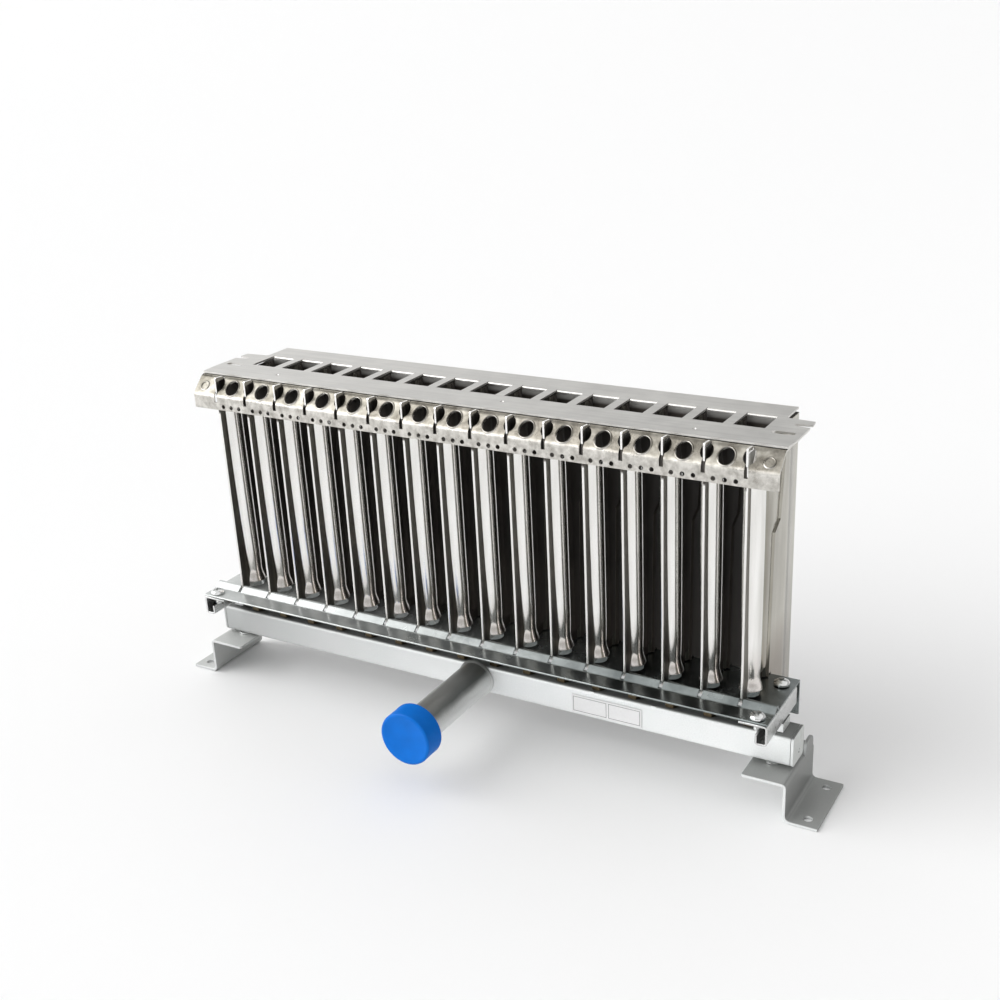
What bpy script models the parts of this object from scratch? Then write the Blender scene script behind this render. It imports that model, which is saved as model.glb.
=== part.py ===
"""Atmospheric gas burner assembly: sixteen stainless burner blades on a square gas manifold.

The manifold lies along X on two Z-shaped feet, its inlet pipe points along -Y, and the blades
stand upright behind it with their venturi mouths over the jets and their flame ports at the
back.  Sizes are metres, +Z is up, and the origin is on the ground under the middle of the
assembly.  Inside the assembly, y is measured from the front face of the manifold and z from
its top face.
"""

import math

import bmesh
import bpy
from mathutils import Matrix, Vector

MM = 0.001

# ---------------------------------------------------------------- driving dimensions
GAP = 0.3 * MM                      # play kept between pieces that touch

BLADE_COUNT = 16
PITCH = 20.0 * MM                   # blade to blade

# Manifold and feet
TUBE = 16.0 * MM                    # square tube, outside
TUBE_WALL = 1.2 * MM
TUBE_CORNER = 2.5 * MM
TUBE_HALF_LENGTH = 172.0 * MM
END_CAP_THICKNESS = 1.2 * MM
JET_HOLE_RADIUS = 3.0 * MM
INLET_HOLE_RADIUS = 5.4 * MM
LABEL_X = (57.0 * MM, 95.8 * MM)
LABEL_Y = (-0.45 * MM, -0.2 * MM)
LABEL_Z = (-14.0 * MM, -3.6 * MM)
FOOT_THICKNESS = 1.5 * MM
FOOT_TOP = -17.4 * MM               # upper face of a foot's top flange
FOOT_HEIGHT = 21.1 * MM             # upper face of the top flange above the ground
FOOT_FRONT = -12.8 * MM
FOOT_BACK = 29.0 * MM
FOOT_INNER_X = 152.6 * MM
FOOT_WEB_X = 174.8 * MM
FOOT_OUTER_X = 190.5 * MM
FOOT_HOLE_RADIUS = 2.15 * MM
FOOT_HOLE_X = 184.0 * MM
FOOT_HOLE_Y = (-6.5 * MM, 22.7 * MM)
EAR_TOP = -11.0 * MM                # lug that rises from the web behind the manifold
EAR_FRONT = 16.5 * MM
EAR_BACK = 27.8 * MM
STUD_RADIUS = 2.0 * MM
STUD_X = 162.5 * MM
STUD_Y = 5.0 * MM
STUD_END = 5.0 * MM                 # how far the stud reaches below the flange
WASHER_RADIUS = 4.5 * MM
NUT_FLATS = 7.0 * MM
NUT_HEIGHT = 3.2 * MM

# Inlet
PIPE_RADIUS = 9.5 * MM
PIPE_WALL = 1.5 * MM
PIPE_END = -66.6 * MM
THREAD_RADIUS = 13.2 * MM           # G 3/4 male thread
THREAD_LENGTH = 9.0 * MM
INLET_CAP_RADIUS = 14.2 * MM
INLET_CAP_FRONT = -68.6 * MM
INLET_CAP_DEPTH = 11.5 * MM

# Base plate and the channels under its ends
SHEET = 1.0 * MM
BASE_TOP = 17.0 * MM
BASE_FRONT = -20.2 * MM
BASE_BACK = 26.5 * MM
BASE_HALF_LENGTH = 167.3 * MM
BASE_FLANGE_BOTTOM = -2.0 * MM
RIB_TOP = 19.9 * MM
RIB_FRONT = -10.6 * MM
RIB_CREST = (-7.2 * MM, -5.8 * MM)
RIB_BACK = -4.2 * MM
MOUTH_HOLE_RADIUS = 4.6 * MM
CHANNEL_HEIGHT = 10.5 * MM
CHANNEL_TOP_WIDTH = 14.0 * MM
CHANNEL_BOTTOM_WIDTH = 6.0 * MM
CHANNEL_LIP = 5.2 * MM
CHANNEL_BACK = 22.0 * MM
SPACER_Y = (3.0 * MM, 13.0 * MM)    # block between a channel and the manifold
SCREW_X = 161.0 * MM
SCREW_Y = (-16.0 * MM, 18.0 * MM)
SCREW_LENGTH = 6.0 * MM
SCREW_RADIUS = 1.9 * MM
SCREW_HOLE_RADIUS = 2.3 * MM
RECESS_HALF = (1.9 * MM, 0.4 * MM)  # cross recess in the head
RECESS_BOTTOM = 1.5 * MM

# Blades
BLADE_FRONT = -7.4 * MM
BLADE_BACK = 57.0 * MM
BLADE_TOP = 140.6 * MM
BLADE_TAB_TOP = 142.8 * MM
BLADE_TAB_BACK = -0.7 * MM
BLADE_BOTTOM = -2.0 * MM            # lower end of the gas chamber, behind the base plate
WEB_BOTTOM = 17.4 * MM              # lower edge above the base plate
CHAMBER_SKIRT_FRONT = 27.2 * MM     # front edge of the part that hangs behind the base plate
WEB_HALF = 0.5 * MM                 # two sheets, half thickness
CHAMBER_FRONT = 22.0 * MM
CHAMBER_HALF = 2.2 * MM
HEM_HALF = 0.8 * MM                 # folded front edge
HEM_DEPTH = 1.8 * MM
RIDGE_FRONT = 14.0 * MM             # stiffening ridge in front of the chamber
RIDGE_HALF = 2.4 * MM
RIDGE_Z = (24.0 * MM, 104.0 * MM)
CROSSOVER_HALF = 1.9 * MM
CROSSOVER_TOP = 138.6 * MM
CROSSOVER_BOTTOM = 112.0 * MM       # lower edge of the duct at the venturi
CROSSOVER_DROP = 12.0 * MM          # how much lower it is at the chamber
PORT_HALF = 1.4 * MM                # flame ports, grouped along the back edge
PORT_GROUPS = 3
PORT_BRIDGE = 2.0 * MM
PORT_MARGIN = 2.0 * MM
BLADE_WALL = 0.6 * MM
VENTURI_Y = 4.8 * MM
VENTURI_SEGMENTS = 10
# The venturi's height, outside radius and middle y: mouth, throat, diffuser, domed top
VENTURI = [
    (20.1 * MM, 5.7 * MM, VENTURI_Y),
    (26.0 * MM, 4.2 * MM, 4.9 * MM),
    (38.0 * MM, 4.7 * MM, 4.4 * MM),
    (60.0 * MM, 5.0 * MM, 3.7 * MM),
    (90.0 * MM, 5.2 * MM, 3.2 * MM),
    (129.0 * MM, 5.1 * MM, 3.0 * MM),
    (135.5 * MM, 3.4 * MM, 3.4 * MM),
]

# Top plate and the slotted rail in front of it
PLATE_TOP = 143.1 * MM
PLATE_FRONT = 1.0 * MM
PLATE_BACK = 57.0 * MM
PLATE_TAB_BACK = 39.5 * MM
PLATE_HALF_LENGTH = 151.6 * MM
PLATE_TAB_HALF_LENGTH = 166.0 * MM
WINDOW_WIDTH = 15.0 * MM
WINDOW_FRONT = 22.6 * MM
WINDOW_BACK = 41.0 * MM
FLAP_BOTTOM = 127.1 * MM
FLAP_SETBACK = 1.6 * MM             # from the window's back edge to the hanging flap
OPEN_SLOT_X = 157.0 * MM            # inner end of the slot that is open at the tab's edge
OPEN_SLOT_Y = (29.0 * MM, 33.0 * MM)
ROUND_SLOT_X = (152.4 * MM, 161.6 * MM)
ROUND_SLOT_Y = 18.6 * MM
ROUND_SLOT_RADIUS = 1.6 * MM
RAIL_SHEET = 0.8 * MM
RAIL_FRONT = -8.6 * MM
RAIL_BOTTOM = 125.5 * MM
RAIL_BEND = 133.6 * MM
RAIL_HALF_LENGTH = 165.0 * MM
RAIL_LEDGE_BACK = 12.0 * MM
SLOT_WIDTH = 2.0 * MM
SLOT_BOTTOM = 129.6 * MM
SLOT_OVERRUN = 0.8 * MM             # how far a slot runs on into the ledge
RELIEF_SIZE = (3.0 * MM, 3.8 * MM)  # half axes of the opening around each blade
RELIEF_SHIFT = 0.8 * MM             # up the slope from its middle
AIR_HOLE_SIZE = (3.7 * MM, 4.2 * MM)
AIR_HOLE_SHIFT = -0.6 * MM
AIR_HOLE_PLACE = 0.48               # share of the pitch from one blade to the next
SMALL_HOLE_Z = 127.6 * MM
SMALL_HOLE_RADIUS = 1.15 * MM
SMALL_HOLE_PLACES = (0.24, 0.51, 0.77)   # shares of the pitch

# Jets
JET_HEX = 7.0 * MM                  # across flats
JET_HEX_TOP = 5.2 * MM
JET_TOP = 12.4 * MM
JET_STUB_BOTTOM = -2.2 * MM
JET_STUB_RADIUS = 2.6 * MM
JET_FEED_RADIUS = 1.4 * MM
JET_BORE_RADIUS = 0.625 * MM

# The assembly's own frame inside the world
ASSEMBLY_ORIGIN = Vector((0.0, -(INLET_CAP_FRONT + BLADE_BACK) / 2, FOOT_HEIGHT - FOOT_TOP))

RIGHT, LEFT = 1, -1
SIDES = {"right": RIGHT, "left": LEFT}


def blade_x(number):
    """X of a blade's middle plane; blades are numbered from 1 at the -X end."""
    return (number - (BLADE_COUNT + 1) / 2) * PITCH


# ---------------------------------------------------------------- materials
def material(name, colour, roughness, metallic=0.0):
    """A Principled material, made once for each name."""
    found = bpy.data.materials.get(name)
    if found:
        return found
    made = bpy.data.materials.new(name)
    made.use_nodes = True
    shader = made.node_tree.nodes["Principled BSDF"]
    shader.inputs["Base Color"].default_value = (*colour, 1.0)
    shader.inputs["Roughness"].default_value = roughness
    shader.inputs["Metallic"].default_value = metallic
    return made


def stainless():
    return material("stainless_steel", (0.66, 0.64, 0.60), 0.22, 1.0)


def satin_stainless():
    return material("satin_stainless_plate", (0.60, 0.58, 0.55), 0.38, 1.0)


def dark_galvanised():
    return material("dark_galvanised_sheet", (0.20, 0.22, 0.22), 0.18, 1.0)


def silver_paint():
    return material("silver_painted_steel", (0.62, 0.64, 0.65), 0.45, 0.35)


def bright_zinc():
    return material("bright_zinc", (0.80, 0.80, 0.78), 0.20, 1.0)


def brass():
    return material("brass", (0.72, 0.53, 0.25), 0.30, 1.0)


def blue_plastic():
    return material("blue_plastic", (0.01, 0.16, 0.68), 0.40)


def white_label():
    return material("white_label", (0.88, 0.89, 0.90), 0.35)


# ---------------------------------------------------------------- solids
def box(low, high):
    """A closed box between two corners."""
    shape = bmesh.new()
    bmesh.ops.create_cube(shape, size=1.0)
    low, high = Vector(low), Vector(high)
    size = high - low
    for vertex in shape.verts:
        for axis in range(3):
            vertex.co[axis] = low[axis] + (vertex.co[axis] + 0.5) * size[axis]
    return shape


def prism(outline, axis, start, end):
    """An outline of two-number points, pushed along X, Y or Z from start to end."""
    shape = bmesh.new()

    def place(point, along):
        a, b = point
        return {"X": (along, a, b), "Y": (a, along, b), "Z": (a, b, along)}[axis]

    lower = [shape.verts.new(place(point, start)) for point in outline]
    upper = [shape.verts.new(place(point, end)) for point in outline]
    count = len(outline)
    shape.faces.new(lower)
    shape.faces.new(upper[::-1])
    for here in range(count):
        after = (here + 1) % count
        shape.faces.new((lower[here], upper[here], upper[after], lower[after]))
    bmesh.ops.recalc_face_normals(shape, faces=shape.faces)
    return shape


def circle(centre, radius, segments, turn=0.0):
    """Points of a regular outline around a two-number centre."""
    steps = [turn + 2 * math.pi * step / segments for step in range(segments)]
    return [(centre[0] + radius * math.cos(a), centre[1] + radius * math.sin(a)) for a in steps]


def stacked(sections, segments):
    """A closed solid through round sections, each given as (z, radius, centre)."""
    shape = bmesh.new()
    rings = []
    for height, radius, centre in sections:
        points = circle(centre, radius, segments)
        rings.append([shape.verts.new((x, y, height)) for x, y in points])
    for below, above in zip(rings, rings[1:]):
        for here in range(segments):
            after = (here + 1) % segments
            shape.faces.new((below[here], below[after], above[after], above[here]))
    shape.faces.new(rings[0][::-1])
    shape.faces.new(rings[-1])
    bmesh.ops.recalc_face_normals(shape, faces=shape.faces)
    return shape


def turned_loop(section, segments):
    """A closed solid with a hole through it: a closed (z, radius) section turned about Z."""
    shape = bmesh.new()
    rings = [[shape.verts.new((x, y, height)) for x, y in circle((0.0, 0.0), radius, segments)]
             for height, radius in section]
    for below, above in zip(rings, rings[1:] + rings[:1]):
        for here in range(segments):
            after = (here + 1) % segments
            shape.faces.new((below[here], below[after], above[after], above[here]))
    bmesh.ops.recalc_face_normals(shape, faces=shape.faces)
    return shape


def offset_path(path, thickness):
    """The same open path, moved by thickness to its right-hand side with mitred corners."""
    points = [Vector(point) for point in path]
    moved = []
    for index, point in enumerate(points):
        normals = []
        for first, second in ((index - 1, index), (index, index + 1)):
            if first >= 0 and second < len(points):
                along = (points[second] - points[first]).normalized()
                normals.append(Vector((along.y, -along.x)))
        middle = sum(normals, Vector((0.0, 0.0))).normalized()
        moved.append(point + middle * thickness / middle.dot(normals[0]))
    return [tuple(point) for point in moved]


def bent_sheet(path, thickness, axis, start, end):
    """A folded sheet: the path is one face of its section, the other lies to its right."""
    return prism(path + offset_path(path, thickness)[::-1], axis, start, end)


def rounded_square(side, corner, centre=(0.0, 0.0), steps=3):
    """Outline of a square with round corners."""
    points = []
    reach = side / 2 - corner
    for quarter in range(4):
        middle = math.pi / 4 + quarter * math.pi / 2
        corner_centre = (centre[0] + math.copysign(reach, math.cos(middle)),
                         centre[1] + math.copysign(reach, math.sin(middle)))
        for step in range(steps + 1):
            angle = quarter * math.pi / 2 + step * math.pi / 2 / steps
            points.append((corner_centre[0] + corner * math.cos(angle),
                           corner_centre[1] + corner * math.sin(angle)))
    return points


def as_mesh(shape, name):
    mesh = bpy.data.meshes.new(name)
    shape.to_mesh(mesh)
    shape.free()
    return mesh


def fuse(name, body, add=(), cut=()):
    """One closed mesh: body with the added solids united and the cut solids taken away."""
    scene = bpy.context.scene.collection
    target = bpy.data.objects.new(name + "_work", as_mesh(body, name))
    scene.objects.link(target)
    helpers = []
    for operation, solids in (("UNION", add), ("DIFFERENCE", cut)):
        for index, solid in enumerate(solids):
            helper = bpy.data.objects.new(f"{name}_{operation}_{index}", as_mesh(solid, name))
            scene.objects.link(helper)
            helpers.append(helper)
            step = target.modifiers.new(helper.name, "BOOLEAN")
            step.operation = operation
            step.solver = "EXACT"
            step.object = helper
    evaluated = target.evaluated_get(bpy.context.evaluated_depsgraph_get())
    mesh = bpy.data.meshes.new_from_object(evaluated)
    mesh.name = name
    for helper in helpers + [target]:
        bpy.data.objects.remove(helper)
    return mesh


def together(solids):
    """Several solids that don't meet, as one cutter."""
    whole = bmesh.new()
    for solid in solids:
        part = as_mesh(solid, "cutter_part")
        whole.from_mesh(part)
        bpy.data.meshes.remove(part)
    return whole


def mirrored(shape):
    """The same solid on the other side of the YZ plane."""
    bmesh.ops.transform(shape, matrix=Matrix.Scale(-1.0, 4, (1.0, 0.0, 0.0)), verts=shape.verts)
    bmesh.ops.reverse_faces(shape, faces=shape.faces)
    return shape


def piece(name, mesh, look, parent, location=(0.0, 0.0, 0.0), smooth=35.0):
    """Put a named sub-part into the assembly."""
    if not mesh.materials:
        mesh.materials.append(look)
    mesh.shade_smooth()
    mesh.set_sharp_from_angle(angle=math.radians(smooth))
    made = bpy.data.objects.new(name, mesh)
    made.location = location
    made.parent = parent
    bpy.context.scene.collection.objects.link(made)
    return made


# ---------------------------------------------------------------- burner blades
def venturi_solid(shrink=0.0, below=0.0):
    """The venturi's outside, or its bore when shrunk by the wall and opened below the mouth."""
    sections = [(height, radius - shrink, (0.0, y)) for height, radius, y in VENTURI]
    if below:
        mouth, radius, centre = sections[0]
        sections.insert(0, (mouth - below, radius, centre))
    return stacked(sections, VENTURI_SEGMENTS)


def crossover_solid(shrink=0.0):
    """The flat duct that leads the gas from the venturi's top back into the chamber."""
    top, back = CROSSOVER_TOP - shrink, CHAMBER_FRONT + 4 * MM
    outline = [(VENTURI_Y, CROSSOVER_BOTTOM + shrink), (VENTURI_Y, top), (back, top),
               (back, CROSSOVER_BOTTOM - CROSSOVER_DROP + shrink)]
    half = CROSSOVER_HALF - shrink
    return prism(outline, "X", -half, half)


def chamber_solid(shrink=0.0):
    """The flat gas chamber of the blade's back half; its skirt hangs behind the base plate."""
    front, back = CHAMBER_FRONT + shrink, BLADE_BACK - shrink
    skirt_front = CHAMBER_SKIRT_FRONT + shrink
    bottom, skirt_bottom = WEB_BOTTOM + 0.1 * MM + shrink, BLADE_BOTTOM + shrink
    outline = [(front, bottom), (skirt_front, bottom), (skirt_front, skirt_bottom),
               (back, skirt_bottom), (back, BLADE_TOP - shrink), (front, BLADE_TOP - shrink)]
    return prism(outline, "X", -CHAMBER_HALF + shrink, CHAMBER_HALF - shrink)


def blade_mesh():
    """A pressed blade: two shells seamed at the front, hollow from venturi mouth to ports."""
    outline = [(BLADE_FRONT, WEB_BOTTOM), (BLADE_FRONT, BLADE_TAB_TOP),
               (BLADE_TAB_BACK, BLADE_TAB_TOP), (BLADE_TAB_BACK, BLADE_TOP),
               (CHAMBER_FRONT + 1 * MM, BLADE_TOP), (CHAMBER_FRONT + 1 * MM, WEB_BOTTOM)]
    web = prism(outline, "X", -WEB_HALF, WEB_HALF)
    hem = box((-HEM_HALF, BLADE_FRONT + 0.05 * MM, RIB_TOP + GAP),
              (HEM_HALF, BLADE_FRONT + HEM_DEPTH, SLOT_BOTTOM - 1.2 * MM))
    ridge_section = [(-RIDGE_HALF, RIDGE_FRONT + 1.5 * MM), (0.0, RIDGE_FRONT),
                     (RIDGE_HALF, RIDGE_FRONT + 1.5 * MM), (RIDGE_HALF, CHAMBER_FRONT + 1 * MM),
                     (-RIDGE_HALF, CHAMBER_FRONT + 1 * MM)]
    ridge = prism(ridge_section, "Z", *RIDGE_Z)
    port_step = (BLADE_TOP - BLADE_BOTTOM - 2 * PORT_MARGIN) / PORT_GROUPS
    ports = []
    for number in range(PORT_GROUPS):
        low = BLADE_BOTTOM + PORT_MARGIN + number * port_step
        ports.append(box((-PORT_HALF, BLADE_BACK - 2 * BLADE_WALL, low + PORT_BRIDGE / 2),
                         (PORT_HALF, BLADE_BACK + 1 * MM, low + port_step - PORT_BRIDGE / 2)))
    return fuse(
        "burner_blade", web,
        add=(hem, ridge, chamber_solid(), venturi_solid(), crossover_solid()),
        cut=(venturi_solid(BLADE_WALL, VENTURI[0][0] - WEB_BOTTOM + 1 * MM),
             crossover_solid(BLADE_WALL), chamber_solid(BLADE_WALL), together(ports)))


def build_blades(parent):
    mesh = blade_mesh()
    for number in range(1, BLADE_COUNT + 1):
        piece(f"burner_blade_{number:02d}", mesh, stainless(), parent, (blade_x(number), 0.0, 0.0))


# ---------------------------------------------------------------- jets
def jet_mesh():
    """A screwed gas jet: threaded stub, hexagon, cone and a bore that narrows to the jet."""
    corner = JET_HEX / math.sqrt(3)
    section = [(JET_STUB_BOTTOM, JET_STUB_RADIUS), (GAP, JET_STUB_RADIUS), (GAP, corner),
               (JET_HEX_TOP, corner), (JET_HEX_TOP, 3.3 * MM), (JET_TOP, 1.7 * MM),
               (JET_TOP, JET_BORE_RADIUS), (JET_TOP - 2 * MM, JET_BORE_RADIUS),
               (JET_TOP - 3 * MM, JET_FEED_RADIUS), (JET_STUB_BOTTOM, JET_FEED_RADIUS)]
    return as_mesh(turned_loop(section, 6), "gas_jet")


def build_jets(parent):
    mesh = jet_mesh()
    for number in range(1, BLADE_COUNT + 1):
        piece(f"gas_jet_{number:02d}", mesh, brass(), parent, (blade_x(number), VENTURI_Y, 0.0))


# ---------------------------------------------------------------- manifold
def build_manifold(parent):
    """The square tube with a tapped hole for each jet, and its two welded end caps."""
    middle = (TUBE / 2, -TUBE / 2)
    outer = prism(rounded_square(TUBE, TUBE_CORNER, middle), "X",
                  -TUBE_HALF_LENGTH, TUBE_HALF_LENGTH)
    inner = prism(rounded_square(TUBE - 2 * TUBE_WALL, TUBE_CORNER - TUBE_WALL, middle, 2), "X",
                  -TUBE_HALF_LENGTH - MM, TUBE_HALF_LENGTH + MM)
    jet_holes = [prism(circle((blade_x(number), VENTURI_Y), JET_HOLE_RADIUS, 8), "Z",
                       -TUBE_WALL - MM, MM) for number in range(1, BLADE_COUNT + 1)]
    inlet_hole = prism(circle((0.0, -TUBE / 2), INLET_HOLE_RADIUS, 16), "Y",
                       -MM, TUBE_WALL + MM)
    mesh = fuse("manifold_tube", outer, cut=(inner, together(jet_holes), inlet_hole))
    piece("manifold_tube", mesh, silver_paint(), parent)
    for side_name, side in SIDES.items():
        near = side * (TUBE_HALF_LENGTH + GAP)
        cap = prism(rounded_square(TUBE, TUBE_CORNER, middle), "X",
                    near, near + side * END_CAP_THICKNESS)
        piece(f"manifold_end_cap_{side_name}", as_mesh(cap, "manifold_end_cap"),
              silver_paint(), parent)


# ---------------------------------------------------------------- gas inlet
def ring(radius, inner_radius, start, end, segments, height=-TUBE / 2):
    """A tube along Y, centred on the inlet."""
    outer = prism(circle((0.0, height), radius, segments), "Y", start, end)
    inner = prism(circle((0.0, height), inner_radius, segments), "Y",
                  min(start, end) - MM, max(start, end) + MM)
    return outer, inner


def build_inlet(parent):
    """The inlet pipe, the thread on its end and the pull-off cap that keeps dirt out."""
    outer, inner = ring(PIPE_RADIUS, PIPE_RADIUS - PIPE_WALL, PIPE_END, -GAP, 28)
    piece("inlet_pipe", fuse("inlet_pipe", outer, cut=(inner,)), silver_paint(), parent)

    outer, inner = ring(THREAD_RADIUS, PIPE_RADIUS + GAP, PIPE_END, PIPE_END + THREAD_LENGTH, 28)
    piece("inlet_thread_end", fuse("inlet_thread_end", outer, cut=(inner,)),
          bright_zinc(), parent)

    cap_axis = bpy.data.objects.new("inlet_cap_axis", None)
    cap_axis.location = (0.0, INLET_CAP_FRONT, -TUBE / 2)
    cap_axis.parent = parent
    bpy.context.scene.collection.objects.link(cap_axis)
    outer, _ = ring(INLET_CAP_RADIUS, THREAD_RADIUS, 0.0, INLET_CAP_DEPTH, 28, 0.0)
    hollow = prism(circle((0.0, 0.0), THREAD_RADIUS + GAP, 28), "Y",
                   PIPE_END - INLET_CAP_FRONT - GAP, INLET_CAP_DEPTH + MM)
    piece("inlet_cap", fuse("inlet_cap", outer, cut=(hollow,)), blue_plastic(), cap_axis)


# ---------------------------------------------------------------- base plate
def build_base_plate(parent):
    """The sheet the blades stand on: slotted rib, rear flange, and a hole under each mouth."""
    path = [(BASE_FRONT, BASE_TOP), (RIB_FRONT, BASE_TOP), (RIB_CREST[0], RIB_TOP),
            (RIB_CREST[1], RIB_TOP), (RIB_BACK, BASE_TOP), (BASE_BACK, BASE_TOP),
            (BASE_BACK, BASE_FLANGE_BOTTOM)]
    sheet = bent_sheet(path, SHEET, "X", -BASE_HALF_LENGTH, BASE_HALF_LENGTH)
    slots, mouths = [], []
    for number in range(1, BLADE_COUNT + 1):
        x = blade_x(number)
        slots.append(box((x - SLOT_WIDTH / 2, RIB_FRONT + 0.4 * MM, BASE_TOP + 0.05 * MM),
                         (x + SLOT_WIDTH / 2, RIB_BACK - GAP, RIB_TOP + MM)))
        mouths.append(prism(circle((x, VENTURI_Y), MOUTH_HOLE_RADIUS, 12), "Z",
                            BASE_TOP - SHEET - MM, BASE_TOP + MM))
    screw_holes = [prism(circle((side * SCREW_X, y), SCREW_HOLE_RADIUS, 8), "Z",
                         BASE_TOP - SHEET - MM, BASE_TOP + MM)
                   for side in SIDES.values() for y in SCREW_Y]
    mesh = fuse("base_plate", sheet, cut=(together(slots), together(mouths), together(screw_holes)))
    piece("base_plate", mesh, dark_galvanised(), parent)


def build_end_channels(parent):
    """The lipped channels that stiffen the base plate's ends and stand on the manifold."""
    top = BASE_TOP - SHEET - GAP
    bottom = top - CHANNEL_HEIGHT
    web = BASE_HALF_LENGTH
    path = [(web - CHANNEL_TOP_WIDTH, top), (web, top), (web, bottom),
            (web - CHANNEL_BOTTOM_WIDTH, bottom), (web - CHANNEL_BOTTOM_WIDTH, bottom + CHANNEL_LIP)]
    for side_name, side in SIDES.items():
        channel = bent_sheet(path, SHEET, "Y", BASE_FRONT, CHANNEL_BACK)
        holes = [prism(circle((SCREW_X, y), SCREW_HOLE_RADIUS, 8), "Z",
                       top - SHEET - MM, top + MM) for y in SCREW_Y]
        cuts = together(holes)
        if side == LEFT:
            channel, cuts = mirrored(channel), mirrored(cuts)
        name = f"end_channel_{side_name}"
        piece(name, fuse(name, channel, cut=(cuts,)), bright_zinc(), parent)
        inner, outer = side * (web - CHANNEL_BOTTOM_WIDTH), side * web
        block = box((min(inner, outer), SPACER_Y[0], GAP),
                    (max(inner, outer), SPACER_Y[1], bottom - GAP))
        piece(f"manifold_spacer_{side_name}", as_mesh(block, "manifold_spacer"),
              silver_paint(), parent)


def screw_mesh():
    """A pan-head screw with a cross recess, head up, seated at z = 0."""
    axis = (0.0, 0.0)
    head = stacked([(GAP, 3.9 * MM, axis), (1.4 * MM, 3.8 * MM, axis),
                    (2.3 * MM, 2.8 * MM, axis), (2.7 * MM, 1.3 * MM, axis)], 12)
    shank = prism(circle(axis, SCREW_RADIUS, 8), "Z", -SCREW_LENGTH, GAP + 0.4 * MM)
    long, short = RECESS_HALF
    recess = (box((-long, -short, RECESS_BOTTOM), (long, short, 4 * MM)),
              box((-short, -long, RECESS_BOTTOM), (short, long, 4 * MM)))
    return fuse("base_screw", head, add=(shank,), cut=recess)


def build_base_screws(parent):
    mesh = screw_mesh()
    for side_name, side in SIDES.items():
        for end_name, y in zip(("front", "rear"), SCREW_Y):
            piece(f"base_screw_{end_name}_{side_name}", mesh, bright_zinc(), parent,
                  (side * SCREW_X, y, BASE_TOP))


# ---------------------------------------------------------------- feet
def build_feet(parent):
    """The Z-shaped feet, hung on welded studs under the manifold with a washer and a nut."""
    ground = FOOT_TOP - FOOT_HEIGHT + FOOT_THICKNESS
    path = [(FOOT_INNER_X, FOOT_TOP), (FOOT_WEB_X, FOOT_TOP), (FOOT_WEB_X, ground),
            (FOOT_OUTER_X, ground)]
    washer_top, washer_bottom = -TUBE - GAP, FOOT_TOP + GAP
    nut_top = FOOT_TOP - FOOT_THICKNESS - GAP
    ear_bottom = FOOT_TOP - FOOT_THICKNESS
    ear_outline = [(EAR_FRONT, ear_bottom), (EAR_FRONT, EAR_TOP), (EAR_BACK - 5.8 * MM, EAR_TOP),
                   (EAR_BACK - 2.3 * MM, EAR_TOP - 1.6 * MM), (EAR_BACK, EAR_TOP - 5 * MM),
                   (EAR_BACK, ear_bottom)]
    for side_name, side in SIDES.items():
        foot = bent_sheet(path, FOOT_THICKNESS, "Y", FOOT_FRONT, FOOT_BACK)
        ear = prism(ear_outline, "X", FOOT_WEB_X - FOOT_THICKNESS, FOOT_WEB_X)
        floor_holes = [prism(circle((FOOT_HOLE_X, y), FOOT_HOLE_RADIUS, 14), "Z",
                             ground - FOOT_THICKNESS - MM, ground + MM) for y in FOOT_HOLE_Y]
        stud_hole = prism(circle((STUD_X, STUD_Y), STUD_RADIUS + GAP, 12), "Z",
                          FOOT_TOP - FOOT_THICKNESS - MM, FOOT_TOP + MM)
        cuts = together(floor_holes + [stud_hole])
        if side == LEFT:
            foot, ear, cuts = mirrored(foot), mirrored(ear), mirrored(cuts)
        name = f"foot_{side_name}"
        piece(name, fuse(name, foot, add=(ear,), cut=(cuts,)), silver_paint(), parent)

        centre = (side * STUD_X, STUD_Y)
        stud_bottom = nut_top - STUD_END
        stud = prism(circle(centre, STUD_RADIUS, 12), "Z", stud_bottom, washer_top)
        piece(f"foot_stud_{side_name}", as_mesh(stud, "foot_stud"), bright_zinc(), parent)
        washer = prism(circle(centre, WASHER_RADIUS, 16), "Z", washer_bottom, washer_top)
        nut = prism(circle(centre, NUT_FLATS / math.sqrt(3), 6), "Z", nut_top - NUT_HEIGHT, nut_top)
        for label, body in (("foot_washer", washer), ("foot_nut", nut)):
            bore = prism(circle(centre, STUD_RADIUS + GAP, 12), "Z", stud_bottom - MM, 0.0)
            piece(f"{label}_{side_name}", fuse(label, body, cut=(bore,)), bright_zinc(), parent)


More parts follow.
